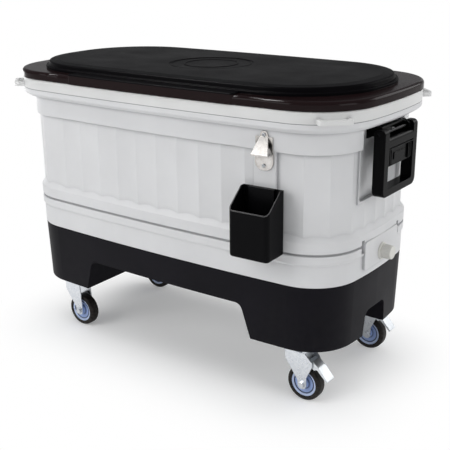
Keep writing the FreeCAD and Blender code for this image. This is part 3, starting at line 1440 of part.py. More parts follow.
def make_opener():
    """The cast bottle opener: a teardrop plate with a wedge-shaped hood, and its screws."""
    opener = new_body("bottle_opener")
    face = part_gap
    half = opener_width / 2
    low = opener_top - opener_length
    plate = new_sketch(opener, "plate", "XZ_Plane", face)
    add_outline(plate, [(-opener_neck, opener_top, 7.5), (opener_neck, opener_top, 7.5),
                        (half, low + opener_shoulder, 12), (half, low, half * 0.9), (-half, low, half * 0.9),
                        (-half, low + opener_shoulder, 12)])
    pad(opener, plate, opener_plate)
    hood_low = low + opener_hood_low
    hood_top = opener_top - opener_hood_drop
    plate_y = -face - opener_plate
    hood_y = -face - opener_hood
    hood = new_sketch(opener, "hood", "YZ_Plane", -opener_hood_half)
    add_outline(hood, [(-face, hood_low + skin), (hood_y, hood_low),
                       (hood_y, hood_low + opener_hood_sheet, edge_round),
                       (plate_y, hood_top), (-face, hood_top)])
    pad(opener, hood, opener_hood_half * 2)
    throat = new_sketch(opener, "throat", "YZ_Plane", opener_hood_sheet - opener_hood_half)
    throat_top = hood_top - opener_throat_drop
    throat_low = hood_low - lap
    add_outline(throat, [(plate_y, throat_low), (hood_y + opener_hood_sheet, throat_low),
                         (hood_y + opener_hood_sheet, hood_low + opener_hood_sheet + cut_over),
                         (plate_y - opener_hood_sheet, throat_top), (plate_y, throat_top)])
    pocket(opener, throat, (opener_hood_half - opener_hood_sheet) * 2, reverse=True)
    taper = new_sketch(opener, "taper", "XZ_Plane", face + opener_plate)
    for way in SIDES:
        taper_low = hood_low + band_round
        add_outline(taper, [(opener_neck * way, opener_top), (half * way * 1.2, opener_top),
                            (half * way * 1.2, taper_low), (half * way * 0.93, taper_low)])
    pocket(opener, taper, opener_hood * 2, reverse=True)
    holes = new_sketch(opener, "screw_holes", "XZ_Plane", face)
    for along, z in front_screw_spots()[:2]:
        add_circle(holes, along, z, screw_radius + seat_gap)
    pocket(opener, holes, opener_plate * 2, reverse=True)
    place(opener, accessory_x, pad_y, 0, PAD_TURN)
    keep("bottle_opener", opener)
    fixing = screw("opener_screw", screw_length)
    seat = face + opener_plate
    spots = [on_pad(along, seat, z) + (PAD_OUT,) for along, z in front_screw_spots()[:2]]
    keep("opener_screws", copies("opener_screws", fixing, spots))


def make_catcher():
    """The cap catcher: an open bin with a keyhole back that drops over a T-shaped hanger on the wall."""
    back = catcher_stand_off
    wall = catcher_wall
    hanger_top = catcher_top - wall - part_gap
    hanger_low = hanger_top - hanger_height
    lip_front = back + wall + part_gap + hanger_lip
    keep("catcher_hanger", make_hanger(hanger_low, hanger_top, lip_front))
    fixing = screw("hanger_screw", screw_length + lap)
    seat = lip_front - screw_head - cut_over
    spots = [on_pad(along, seat, z) + (PAD_OUT,) for along, z in front_screw_spots()[2:]]
    keep("catcher_screws", copies("catcher_screws", fixing, spots))

    low = catcher_top - catcher_height
    half = catcher_width / 2
    catcher = new_body("cap_catcher")
    outline = new_sketch(catcher, "side", "YZ_Plane")
    front_top = catcher_top - catcher_front_drop
    add_outline(outline, [(-back, low), (-back, catcher_top), (-back - catcher_top_flat, catcher_top),
                          (catcher_rim_round - catcher_front, front_top, catcher_rim_round),
                          (-catcher_front, front_top - catcher_rim_round), (-catcher_front, low)])
    pad(catcher, outline, catcher_width, centred=True)
    rounded(catcher, catcher_round, lambda edge: edge.BoundBox.YMax < -catcher_front.value + 0.5
            and edge.BoundBox.ZLength > 20)
    rounded(catcher, catcher_round / 2, lambda edge: edge.BoundBox.ZMax < low.value + 0.1)
    inside = new_sketch(catcher, "inside", "XY_Plane", low + wall)
    add_outline(inside, [(wall - half, -back - wall), (half - wall, -back - wall),
                         (half - wall, wall - catcher_front, catcher_inside_round),
                         (wall - half, wall - catcher_front, catcher_inside_round)])
    pocket(catcher, inside, catcher_height, reverse=True)
    window_low = hanger_low - hanger_height - wall
    housing = new_sketch(catcher, "housing", "XZ_Plane", back + wall * 0.5)
    wide = hanger_half + part_gap + wall
    add_outline(housing, [(-wide, window_low - wall), (wide, window_low - wall), (wide, catcher_top),
                          (-wide, catcher_top)])
    pad(catcher, housing, lip_front + part_gap + wall - back - wall * 0.5)
    room = new_sketch(catcher, "hanger_room", "XZ_Plane", back + wall)
    wide = hanger_half + part_gap
    add_outline(room, [(-wide, window_low), (wide, window_low), (wide, hanger_top + part_gap),
                       (-wide, hanger_top + part_gap)])
    pocket(catcher, room, lip_front + part_gap - back - wall, reverse=True)
    keyhole = new_sketch(catcher, "keyhole", "XZ_Plane", back - cut_over)
    narrow = hanger_neck + part_gap
    step = hanger_low - cut_over
    add_outline(keyhole, [(-wide, window_low, crest_round), (wide, window_low, crest_round), (wide, step),
                          (narrow, step), (narrow, hanger_top + part_gap), (-narrow, hanger_top + part_gap),
                          (-narrow, step), (-wide, step)])
    pocket(catcher, keyhole, wall + cut_over * 2, reverse=True)
    place(catcher, accessory_x, pad_y, 0, PAD_TURN)
    keep("cap_catcher", catcher)


def make_hanger(hanger_low, hanger_top, lip_front):
    """The catcher's hanger: a narrow neck from the pad and a wider lip in front of it."""
    hanger = new_body("catcher_hanger")
    neck = new_sketch(hanger, "neck", "XZ_Plane", part_gap)
    add_outline(neck, [(-hanger_neck, hanger_low), (hanger_neck, hanger_low), (hanger_neck, hanger_top),
                       (-hanger_neck, hanger_top)])
    pad(hanger, neck, lip_front - part_gap)
    lip = new_sketch(hanger, "lip", "XZ_Plane", lip_front - hanger_lip)
    add_outline(lip, [(-hanger_half, hanger_low), (hanger_half, hanger_low),
                      (hanger_half, hanger_top, crest_round),
                      (-hanger_half, hanger_top, crest_round)])
    pad(hanger, lip, hanger_lip)
    holes = new_sketch(hanger, "screw_holes", "XZ_Plane")
    sinks = new_sketch(hanger, "screw_sinks", "XZ_Plane", lip_front)
    for along, z in front_screw_spots()[2:]:
        add_circle(holes, along, z, screw_radius + seat_gap)
        add_circle(sinks, along, z, screw_head_radius + part_gap)
    pocket(hanger, holes, catcher_depth, reverse=True)
    pocket(hanger, sinks, screw_head + cut_over)
    place(hanger, accessory_x, pad_y, 0, PAD_TURN)
    return hanger


def make_casters():
    """Four swivel casters; the two at the drain end have brake pedals."""
    plate_low = sole_z - caster_plate_thickness
    race_low = plate_low - race_height
    crown_top = race_low - swivel_gap
    bolt = new_body("caster_bolt")
    sketch = new_sketch(bolt, "profile", "XZ_Plane")
    grip = caster_plate_thickness + sole_thickness + bolt_head
    add_outline(sketch, [(0, -bolt_head), (bolt_head_radius, -bolt_head, 1), (bolt_head_radius, 0),
                         (bolt_radius, 0),
                         (bolt_radius, grip), (0, grip)])
    revolved(bolt, sketch, "V_Axis")
    kingpin = new_body("kingpin")
    sketch = new_sketch(kingpin, "profile", "XZ_Plane")
    head_top = crown_top - fork_sheet - part_gap
    head_low = crown_top - fork_sheet - kingpin_head
    add_outline(sketch, [(0, head_low), (kingpin_head_radius, head_low, edge_round),
                         (kingpin_head_radius, head_top),
                         (kingpin_radius, head_top), (kingpin_radius, plate_low - lap), (0, plate_low - lap)])
    revolved(kingpin, sketch, "V_Axis")
    bolt_spots = []
    pin_spots = []
    for name, x, y in mirror_pairs(caster_x, caster_y):
        braked = name.endswith("right")
        for right_way in SIDES:
            for back_way in SIDES:
                bolt_spots.append((x + bolt_spacing_x / 2 * right_way, y + bolt_spacing_y / 2 * back_way,
                                   plate_low))
        pin_spots.append((x, y, 0))
        keep(f"caster_plate_{name}", make_caster_plate(name, x, y, plate_low, race_low))
        keep(f"caster_fork_{name}", make_fork(name, x, y, crown_top, braked))
        keep(f"caster_axle_{name}", make_axle(name, x, y))
        keep(f"wheel_hub_{name}", make_hub(name, x, y))
        keep(f"tyre_{name}", make_tyre(name, x, y))
        if braked:
            keep(f"brake_pedal_{name}", make_pedal(name, x, y))
    keep("caster_bolts", copies("caster_bolts", bolt, bolt_spots))
    keep("caster_kingpins", copies("caster_kingpins", kingpin, pin_spots))


def make_caster_plate(name, x, y, plate_low, race_low):
    """A caster's top plate with its four bolt holes and the dished bearing race below it."""
    plate = new_body(f"caster_plate_{name}")
    half_x = caster_plate_length / 2
    half_y = caster_plate_width / 2
    outline = new_sketch(plate, "outline", "XY_Plane", plate_low)
    add_outline(outline, [(-half_x, -half_y, foot_round), (half_x, -half_y, foot_round),
                          (half_x, half_y, foot_round),
                          (-half_x, half_y, foot_round)])
    for right_way in SIDES:
        for back_way in SIDES:
            add_circle(outline, bolt_spacing_x / 2 * right_way, bolt_spacing_y / 2 * back_way,
                       bolt_radius + seat_gap)
    pad(plate, outline, caster_plate_thickness)
    race = new_sketch(plate, "race", "XZ_Plane")
    add_outline(race, [(kingpin_radius + seat_gap, race_low), (race_radius * 0.72, race_low),
                       (race_radius, plate_low - race_lip), (race_radius, plate_low + cut_over),
                       (kingpin_radius + seat_gap, plate_low + cut_over)])
    revolved(plate, race, "V_Axis")
    place(plate, x, y, 0)
    return plate


def make_fork(name, x, y, crown_top, braked):
    """A stamped fork: a crown round the kingpin and two tapered legs that trail to the axle."""
    fork = new_body(f"caster_fork_{name}")
    inner = wheel_width / 2 + fork_gap
    outer = inner + fork_sheet
    crown_low = crown_top - fork_sheet
    reach = race_radius + lap
    nose_x = pedal_x + pedal_cheek
    nose = [(nose_x, pedal_z - pedal_cheek, 5), (nose_x, pedal_z + crest_round, 6)] if braked else []
    crown = new_sketch(fork, "crown", "XY_Plane", crown_low)
    add_outline(crown, [(-reach, -outer, pedal_cheek), (fork_crown, -outer, band_round),
                        (fork_crown, outer, band_round), (-reach, outer, pedal_cheek)])
    add_circle(crown, 0, 0, kingpin_radius + running_gap)
    pad(fork, crown, fork_sheet)
    for index, way in enumerate(SIDES):
        leg = new_sketch(fork, f"leg_{index}", "XZ_Plane", inner if way > 0 else -outer)
        add_outline(leg, [(-fork_neck, crown_top), (-fork_neck, crown_top - fork_drop, 10),
                          (trail - fork_foot, wheel_radius + 10, 6),
                          (trail - fork_foot, wheel_radius - fork_foot, 12),
                          (trail + fork_foot, wheel_radius - fork_foot, 12),
                          (trail + fork_foot, wheel_radius + 22, 10)]
                    + nose + [(fork_crown, crown_top, band_round)])
        add_circle(leg, trail, wheel_radius, axle_radius + seat_gap)
        if braked:
            add_circle(leg, pedal_x, pedal_z, pedal_pin_radius + running_gap)
        pad(fork, leg, fork_sheet)
    place(fork, x, y, 0)
    return fork


def make_axle(name, x, y):
    """An axle bolt with a hexagon head on one side and a nut on the other."""
    axle = new_body(f"caster_axle_{name}")
    outer = wheel_width / 2 + fork_gap + fork_sheet
    shaft = new_sketch(axle, "shaft", "XZ_Plane")
    add_circle(shaft, 0, 0, axle_radius)
    pad(axle, shaft, (outer + axle_head) * 2, centred=True)
    for index, start in enumerate((outer + seat_gap, -(outer + seat_gap) - axle_head)):
        head = new_sketch(axle, f"head_{index}", "XZ_Plane", start)
        add_hexagon(head, axle_head_radius)
        pad(axle, head, axle_head)
    place(axle, x + trail, y, wheel_radius)
    return axle


def make_hub(name, x, y):
    """A wheel hub: a bored boss, a dished web and an outer ring set off by a groove."""
    hub = new_body(f"wheel_hub_{name}")
    bore = axle_radius + running_gap
    rim = hub_diameter / 2
    half = wheel_width / 2
    ring = rim - hub_ring
    groove = ring - hub_groove
    side = [(bore, half + lap), (hub_boss_radius, half + lap, edge_round), (hub_boss_foot, half - 7),
            (groove, half - 5),
            (groove, half - 8), (ring - 1, half - 8), (ring, half - hub_groove), (rim, half - 3)]
    profile = new_sketch(hub, "profile", "XY_Plane")
    add_outline(profile, [(corner[0], -corner[1]) + corner[2:] for corner in side] + side[::-1])
    revolved(hub, profile, "V_Axis")
    place(hub, x + trail, y, wheel_radius)
    return hub


def make_tyre(name, x, y):
    """A solid rubber tyre with rounded shoulders on the hub's ring."""
    tyre = new_body(f"tyre_{name}")
    half = wheel_width / 2
    seat = hub_diameter / 2 + seat_gap
    profile = new_sketch(tyre, "profile", "XY_Plane")
    side = [(seat, half - cut_over), (seat + crest_round, half), (wheel_radius, half - lap, tyre_shoulder)]
    add_outline(profile, [(corner[0], -corner[1]) + corner[2:] for corner in side] + side[::-1])
    revolved(tyre, profile, "V_Axis")
    place(tyre, x + trail, y, wheel_radius)
    return tyre


def make_pedal(name, x, y):
    """A brake pedal on its own cross pin: a bent lever with a foot pad outside and a shoe over the tyre."""
    pedal = new_body(f"brake_pedal_{name}")
    lever = new_sketch(pedal, "lever", "XZ_Plane")
    add_outline(lever, [(-pedal_eye, pedal_eye - lap, crest_round), (pedal_eye + cut_over, pedal_eye, 5),
                        (pedal_knee_x, -pedal_knee_drop, 8), (pedal_tip_x, -pedal_tip_drop, 1.5),
                        (pedal_tip_x - 4, -pedal_tip_drop - 3, 1.5),
                        (pedal_knee_x - pedal_sheet, -pedal_knee_drop - 5, 6),
                        (shoe_x, -shoe_drop, edge_round),
                        (pedal_sheet, 4 - shoe_drop, edge_round), (-pedal_eye, -pedal_sheet, crest_round)])
    pad(pedal, lever, pedal_width, centred=True)
    pin = new_sketch(pedal, "pin", "XZ_Plane")
    add_circle(pin, 0, 0, pedal_pin_radius)
    pad(pedal, pin, wheel_width + fork_gap * 2 + fork_sheet * 2, centred=True)
    place(pedal, x + pedal_x, y, pedal_z)
    return pedal


def write_parts():
    """Check every object, then write each sub-part to its own file."""
    doc.recompute()
    for thing in doc.Objects:
        if "Invalid" in thing.State or "Error" in thing.State:
            raise RuntimeError(f"{thing.Name} failed: {thing.State}")
    for name, thing in parts.items():
        if thing.Shape.isNull() or not thing.Shape.isValid() or not thing.Shape.Solids:
            raise RuntimeError(f"{name} has no valid solid")
    os.makedirs("parts", exist_ok=True)
    for name, thing in parts.items():
        thing.Shape.exportStep(f"parts/{name}.step")
        print(name, len(thing.Shape.Solids), round(thing.Shape.Volume / 1000, 1))


make_outer_shell()
make_inner_liner()
make_foam()
make_base()
make_lid()
make_drain()
make_handles()
make_opener()
make_catcher()
make_casters()
write_parts()
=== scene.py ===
"""The rolling cooler bar as it looks: finishes, small pieces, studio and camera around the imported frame.

Everything is in metres in the frame's own coordinates: X along the tub towards the drain, Y from front to
back, Z up from the floor.
"""
from __future__ import annotations

import functools
import logging
import math
from dataclasses import dataclass
from enum import Enum
from typing import Any, Callable

import bmesh
import bpy
from mathutils import Matrix, Vector

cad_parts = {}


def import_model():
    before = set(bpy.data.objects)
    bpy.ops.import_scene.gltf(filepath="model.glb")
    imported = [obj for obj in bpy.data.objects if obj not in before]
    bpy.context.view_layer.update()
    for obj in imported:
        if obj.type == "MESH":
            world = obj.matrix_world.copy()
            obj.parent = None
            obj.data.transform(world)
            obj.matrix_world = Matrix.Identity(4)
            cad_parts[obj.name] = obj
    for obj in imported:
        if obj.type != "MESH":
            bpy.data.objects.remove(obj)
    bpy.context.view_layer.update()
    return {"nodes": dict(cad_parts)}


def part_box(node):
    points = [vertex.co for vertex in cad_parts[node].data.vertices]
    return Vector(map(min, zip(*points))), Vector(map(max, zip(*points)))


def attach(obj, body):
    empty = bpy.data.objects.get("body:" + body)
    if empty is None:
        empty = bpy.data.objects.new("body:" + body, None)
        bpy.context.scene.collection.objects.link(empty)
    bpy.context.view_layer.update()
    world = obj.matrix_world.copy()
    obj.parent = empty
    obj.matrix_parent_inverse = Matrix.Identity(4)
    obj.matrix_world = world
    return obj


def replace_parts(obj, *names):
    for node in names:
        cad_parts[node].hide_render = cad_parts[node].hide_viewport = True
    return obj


LOG = logging.getLogger("cooler")
MM = 0.001
PHOTO_PIXELS = 450
SENSOR = 36.0
MERGE_DISTANCE = 1e-7
RIM_SEAM = 0.758
WHITE = (1.0, 1.0, 1.0, 1.0)
LEAST_WEAR = 0.15

# The values of noise, corner turn and openness between which each effect comes in.
TONE_SPAN = (0.3, 0.7)
EDGE_SPAN = (0.995, 0.86)
BREAKUP_SPAN = (0.42, 0.62)
DUST_SPAN = (0.38, 0.7)
CREASE_SPAN = (0.6, 0.98)


class Side(Enum):
    """The two ends of the tub, with the sign of X there."""

    LEFT = -1
    RIGHT = 1

    @property
    def word(self) -> str:
        """The side's word in piece names."""
        return self.name.lower()


class Corner(Enum):
    """The four casters, by the base's corners."""

    FRONT_LEFT = "front_left"
    FRONT_RIGHT = "front_right"
    REAR_LEFT = "rear_left"
    REAR_RIGHT = "rear_right"

    @property
    def braked(self) -> bool:
        """Whether this corner's caster has a brake pedal."""
        return self.value.endswith("right")


class Lights(Enum):
    """What a lamp lights: everything, only matt shading, or only what gloss mirrors."""

    ALL = "all"
    SHADING = "shading"
    GLOSS = "gloss"


def linear(colour: str) -> tuple[float, float, float, float]:
    """Turn a written colour into the numbers a shader takes, by the sRGB curve.

    Args:
        colour: Six hexadecimal digits after a hash.

    Returns:
        Red, green and blue as linear light, and full alpha.
    """
    parts = [int(colour[i:i + 2], 16) / 255 for i in (1, 3, 5)]
    light = [c / 12.92 if c <= 0.04045 else ((c + 0.055) / 1.055) ** 2.4 for c in parts]
    return light[0], light[1], light[2], 1.0


@dataclass
class Nodes:
    """A node tree under construction, with one call to add and join a node."""

    tree: bpy.types.NodeTree

    def add(self, kind: str, inputs: dict[Any, Any] | None = None, **settings: Any) -> bpy.types.Node:
        """Add a node.

        Args:
            kind: The node's type.
            inputs: What each input, by name or number, is set to or joined from.
            **settings: The node's own properties.

        Returns:
            The new node.
        """
        node = self.tree.nodes.new(kind)
        for name, value in settings.items():
            setattr(node, name, value)
        for key, value in (inputs or {}).items():
            if isinstance(value, bpy.types.NodeSocket):
                self.join(value, node.inputs[key])
            else:
                node.inputs[key].default_value = value
        return node

    def math(self, work: str, *values: Any) -> bpy.types.NodeSocket:
        """Add a Math node and return its result."""
        return self.add("ShaderNodeMath", dict(enumerate(values)), operation=work).outputs[0]

    def vector(self, work: str, *values: Any) -> bpy.types.NodeSocket:
        """Add a Vector Math node and return its result, a number for a length or a dot product."""
        node = self.add("ShaderNodeVectorMath", dict(enumerate(values)), operation=work)
        return node.outputs["Value" if work in ("LENGTH", "DOT_PRODUCT") else "Vector"]

    def span(self, value: Any, low: float, high: float, to_low: float = 0.0,
             to_high: float = 1.0) -> bpy.types.NodeSocket:
        """Map a value from one span to another, held at its ends."""
        inputs = {0: value, 1: low, 2: high, 3: to_low, 4: to_high}
        return self.add("ShaderNodeMapRange", inputs, clamp=True).outputs[0]

    def blend(self, share: Any, first: Any, second: Any) -> bpy.types.NodeSocket:
        """Mix two colours by a share that changes over the surface."""
        inputs = {0: share, 6: first, 7: second}
        return self.add("ShaderNodeMix", inputs, data_type="RGBA").outputs[2]

    def tint(self, colour: Any, mask: Any, share: float, over: str) -> bpy.types.NodeSocket:
        """Lay a written colour over another where a mask shows, at a share of its strength."""
        return self.blend(self.math("MULTIPLY", mask, share), colour, linear(over))

    def place(self) -> bpy.types.NodeSocket:
        """Add the place on a piece, in its own coordinates."""
        return self.add("ShaderNodeTexCoord").outputs["Object"]

    def height(self) -> bpy.types.NodeSocket:
        """Add the height of the place on a piece."""
        return self.add("ShaderNodeSeparateXYZ", {0: self.place()}).outputs["Z"]

    def noise(self, scale: Any, detail: float) -> bpy.types.NodeSocket:
        """Add a noise over a piece and return its value."""
        inputs = {"Vector": self.place(), "Scale": scale, "Detail": detail}
        return self.add("ShaderNodeTexNoise", inputs).outputs[0]

    def join(self, source: bpy.types.NodeSocket, target: bpy.types.NodeSocket) -> None:
        """Link one socket to another."""
        self.tree.links.new(source, target)


def new_group(name: str, inputs: dict[str, float], outputs: dict[str, str]) -> tuple[Nodes, Any, Any]:
    """Start a shader node group.

    Args:
        name: The group's name.
        inputs: Each number that it takes, with its default.
        outputs: Each thing that it puts out, with its socket type.

    Returns:
        The tree to build in, its input node and its output node.
    """
    tree = bpy.data.node_groups.new(name, "ShaderNodeTree")
    for label, value in inputs.items():
        socket = tree.interface.new_socket(label, in_out="INPUT", socket_type="NodeSocketFloat")
        socket.default_value = value
    for label, kind in outputs.items():
        tree.interface.new_socket(label, in_out="OUTPUT", socket_type=kind)
    nodes = Nodes(tree)
    return nodes, nodes.add("NodeGroupInput"), nodes.add("NodeGroupOutput")


@functools.cache
def grain_group() -> bpy.types.NodeTree:
    """The fine skin of a moulded or rolled surface: a height, and slow patches of tone.

    Returns:
        The effect's node group.
    """
    floats = "NodeSocketFloat"
    nodes, given, out = new_group("moulded_grain", {"Fineness": 900.0, "Patches": 7.0},
                                  {"Height": floats, "Tone": floats})
    fine = nodes.noise(given.outputs["Fineness"], detail=3.0)
    slow = nodes.noise(given.outputs["Patches"], detail=3.0)
    nodes.join(fine, out.inputs["Height"])
    nodes.join(nodes.span(slow, *TONE_SPAN), out.inputs["Tone"])
    return nodes.tree


@functools.cache
def edge_group() -> bpy.types.NodeTree:
    """Softened corners, and a broken mask of where handling rubs them.

    Returns:
        The effect's node group.
    """
    nodes, given, out = new_group("edge_wear", {"Radius": 0.001, "Breakup": 90.0},
                                  {"Edge": "NodeSocketFloat", "Normal": "NodeSocketVector"})
    soft = nodes.add("ShaderNodeBevel", {"Radius": given.outputs["Radius"]}, samples=4).outputs[0]
    flat = nodes.add("ShaderNodeNewGeometry").outputs["Normal"]
    turned = nodes.span(nodes.vector("DOT_PRODUCT", soft, flat), *EDGE_SPAN)
    broken = nodes.span(nodes.noise(given.outputs["Breakup"], detail=4.0), *BREAKUP_SPAN, LEAST_WEAR)
    nodes.join(nodes.math("MULTIPLY", turned, broken), out.inputs["Edge"])
    nodes.join(soft, out.inputs["Normal"])
    return nodes.tree


@functools.cache
def dust_group() -> bpy.types.NodeTree:
    """A thin film of floor dust that fades with height.

    Returns:
        The effect's node group.
    """
    nodes, given, out = new_group("floor_dust", {"Reach": 0.3, "Fineness": 45.0}, {"Dust": "NodeSocketFloat"})
    low = nodes.math("SUBTRACT", 1.0, nodes.math("DIVIDE", nodes.height(), given.outputs["Reach"]))
    low = nodes.span(low, 0.0, 1.0)
    spots = nodes.span(nodes.noise(given.outputs["Fineness"], detail=5.0), *DUST_SPAN)
    nodes.join(nodes.math("MULTIPLY", low, spots), out.inputs["Dust"])
    return nodes.tree


@functools.cache
def crease_group() -> bpy.types.NodeTree:
    """A mask of a piece's own inner corners, found by ambient occlusion, where painted shade goes.

    Returns:
        The effect's node group.
    """
    nodes, given, out = new_group("crease_painted_shade", {"Distance": 0.012}, {"Crease": "NodeSocketFloat"})
    # Ambient occlusion of the piece alone: the mask follows where shade falls, and painted shade is tinted
    # there.
    clear = nodes.add("ShaderNodeAmbientOcclusion", {"Distance": given.outputs["Distance"]},
                      samples=8, only_local=True).outputs["AO"]
    nodes.join(nodes.span(clear, *CREASE_SPAN, 1.0, 0.0), out.inputs["Crease"])
    return nodes.tree


@functools.cache
def seam_group() -> bpy.types.NodeTree:
    """A mask of a painted shade line along a level seam, on faces that look outwards.

    Returns:
        The effect's node group.
    """
    nodes, given, out = new_group("seam_painted_shade", {"Height": RIM_SEAM, "Half Width": 0.0009},
                                  {"Seam": "NodeSocketFloat"})
    # A thin band at the seam's height stands in for the shade in the gap: painted shade.
    away = nodes.math("ABSOLUTE", nodes.math("SUBTRACT", nodes.height(), given.outputs["Height"]))
    line = nodes.math("LESS_THAN", away, given.outputs["Half Width"])
    level = nodes.vector("MULTIPLY", nodes.place(), (1, 1, 0))
    normal = nodes.add("ShaderNodeTexCoord").outputs["Normal"]
    outward = nodes.math("GREATER_THAN", nodes.vector("DOT_PRODUCT", level, normal), 0.0)
    nodes.join(nodes.math("MULTIPLY", line, outward), out.inputs["Seam"])
    return nodes.tree


class Finish:
    """A finish that makes its material once."""

    name: str

    @functools.cache
    def make(self) -> bpy.types.Material:
        """Build the finish's material on first use.

        Returns:
            The material.
        """
        material = bpy.data.materials.new(f"{self.name}_finish")
        material.use_nodes = True
        nodes = Nodes(material.node_tree)
        self.build(nodes, material.node_tree.nodes["Principled BSDF"])
        return material

    def build(self, nodes: Nodes, shader: bpy.types.Node) -> None:
        """Join the finish's nodes to its shader."""
        raise NotImplementedError

    @staticmethod
    def group(nodes: Nodes, tree: bpy.types.NodeTree, **inputs: float) -> bpy.types.Node:
        """Place a shared effect with this finish's own values."""
        return nodes.add("ShaderNodeGroup", inputs, node_tree=tree)

    @staticmethod
    def relief(nodes: Nodes, shader: bpy.types.Node, height: Any, depth: float, normal: Any) -> None:
        """Give the shader a bump over softened corners.

        Args:
            nodes: The material's tree.
            shader: Its shader.
            height: The bump's height, from 0 to 1.
            depth: What a height of 1 is in metres.
            normal: The normal of the softened corners.
        """
        inputs = {"Height": height, "Distance": depth, "Normal": normal}
        bump = nodes.add("ShaderNodeBump", inputs)
        nodes.join(bump.outputs[0], shader.inputs["Normal"])


@dataclass(frozen=True)
class MouldedPlastic(Finish):
    """Injection-moulded plastic: fine skin, slow tone, soft rubbed corners, dust, painted shade in creases
    and seams.
    """

    name: str
    colour: str
    shade: str
    edge_tint: str
    roughness: float
    edge_tint_share: float = 0.3
    specular: float = 0.5
    fineness: float = 1100.0
    patches: float = 6.0
    depth: float = 0.00004
    corner: float = 0.0012
    dust: float = 0.0
    dust_reach: float = 0.3
    dust_colour: str = "#8C8A86"
    crease: float = 0.0
    seam_height: float = 0.0
    seam_share: float = 0.8
    # The colour of painted shade, in creases and along the seam.
    painted_shade: str = "#7C7D81"
    rougher: float = 0.04
    smoother: float = 0.03

    def build(self, nodes: Nodes, shader: bpy.types.Node) -> None:
        """Join the plastic's nodes to its shader.

        Args:
            nodes: The material's tree.
            shader: Its shader.
        """
        grain = self.group(nodes, grain_group(), Fineness=self.fineness, Patches=self.patches)
        edge = self.group(nodes, edge_group(), Radius=self.corner)
        tone = grain.outputs["Tone"]
        colour = nodes.blend(tone, linear(self.shade), linear(self.colour))
        # Tint convex edges: rubbed wear, and on the handle also a painted highlight.
        colour = nodes.tint(colour, edge.outputs["Edge"], self.edge_tint_share, self.edge_tint)
        if self.dust:
            film = self.group(nodes, dust_group(), Reach=self.dust_reach)
            colour = nodes.tint(colour, film.outputs["Dust"], self.dust, self.dust_colour)
        # Painted shade: darker in the piece's own creases and hollows, by ambient occlusion.
        if self.crease:
            inner = self.group(nodes, crease_group())
            colour = nodes.tint(colour, inner.outputs["Crease"], self.crease, self.painted_shade)
        # Painted shade: a thin dark line along the seam.
        if self.seam_height:
            seam = self.group(nodes, seam_group(), Height=self.seam_height)
            colour = nodes.tint(colour, seam.outputs["Seam"], self.seam_share, self.painted_shade)
        nodes.join(colour, shader.inputs["Base Color"])
        rough = nodes.span(tone, 0.0, 1.0, self.roughness + self.rougher, self.roughness - self.smoother)
        nodes.join(rough, shader.inputs["Roughness"])
        shader.inputs["Specular IOR Level"].default_value = self.specular
        self.relief(nodes, shader, grain.outputs["Height"], self.depth, edge.outputs["Normal"])


@dataclass(frozen=True)
class LidPlastic(Finish):
    """The lid's plastic: polished on the ring and its lips, and a leathery satin on the stepped top."""

    name: str
    ring_colour: str
    top_colour: str
    edge_tint: str
    top_height: float
    ring_coat: float = 0.16
    top_coat: float = 0.0
    ring_roughness: float = 0.2
    top_roughness: float = 0.38
    coat_roughness: float = 0.07
    specular: float = 0.01
    edge_tint_share: float = 0.25
    fineness: float = 620.0
    patches: float = 9.0
    depth: float = 0.00012
    ring_skin: float = 0.06
    corner: float = 0.0012
    step_half: float = 0.0006
    rougher: float = 0.05
    smoother: float = 0.02

    def build(self, nodes: Nodes, shader: bpy.types.Node) -> None:
        """Join the lid's nodes to its shader.

        Args:
            nodes: The material's tree.
            shader: Its shader.
        """
        grain = self.group(nodes, grain_group(), Fineness=self.fineness, Patches=self.patches)
        edge = self.group(nodes, edge_group(), Radius=self.corner)
        top = nodes.span(nodes.height(), self.top_height - self.step_half, self.top_height + self.step_half)
        colour = nodes.blend(top, linear(self.ring_colour), linear(self.top_colour))
        colour = nodes.tint(colour, edge.outputs["Edge"], self.edge_tint_share, self.edge_tint)
        nodes.join(colour, shader.inputs["Base Color"])
        plain = nodes.span(top, 0.0, 1.0, self.ring_roughness, self.top_roughness)
        uneven = nodes.span(grain.outputs["Tone"], 0.0, 1.0, -self.smoother, self.rougher)
        nodes.join(nodes.math("ADD", plain, uneven), shader.inputs["Roughness"])
        coat = nodes.span(top, 0.0, 1.0, self.ring_coat, self.top_coat)
        nodes.join(coat, shader.inputs["Coat Weight"])
        shader.inputs["Coat Roughness"].default_value = self.coat_roughness
        shader.inputs["Specular IOR Level"].default_value = self.specular
        skin = nodes.math("MULTIPLY", grain.outputs["Height"], nodes.span(top, 0.0, 1.0, self.ring_skin))
        self.relief(nodes, shader, skin, self.depth, edge.outputs["Normal"])


@dataclass(frozen=True)
class PlatedSteel(Finish):
    """Pressed sheet with bright zinc plating: faint crystals, a fine skin and dull rubbed corners."""

    name: str
    colour: str
    crystal: str
    dull: str
    roughness: float
    crystals: float = 160.0
    fineness: float = 420.0
    patches: float = 60.0
    depth: float = 0.00003
    corner: float = 0.0009
    rougher: float = 0.1
    smoother: float = 0.06

    def build(self, nodes: Nodes, shader: bpy.types.Node) -> None:
        """Join the plating's nodes to its shader.

        Args:
            nodes: The material's tree.
            shader: Its shader.
        """
        grain = self.group(nodes, grain_group(), Fineness=self.fineness, Patches=self.patches)
        edge = self.group(nodes, edge_group(), Radius=self.corner)
        cells = nodes.add("ShaderNodeTexVoronoi", {"Vector": nodes.place(), "Scale": self.crystals})
        shine = nodes.add("ShaderNodeSeparateColor", {0: cells.outputs["Color"]}).outputs[0]
        colour = nodes.blend(shine, linear(self.colour), linear(self.crystal))
        colour = nodes.blend(edge.outputs["Edge"], colour, linear(self.dull))
        nodes.join(colour, shader.inputs["Base Color"])
        rough = nodes.span(nodes.math("ADD", shine, grain.outputs["Tone"]), 0.0, 2.0,
                           self.roughness - self.smoother, self.roughness + self.rougher)
        nodes.join(rough, shader.inputs["Roughness"])
        shader.inputs["Metallic"].default_value = 1.0
        self.relief(nodes, shader, grain.outputs["Height"], self.depth, edge.outputs["Normal"])


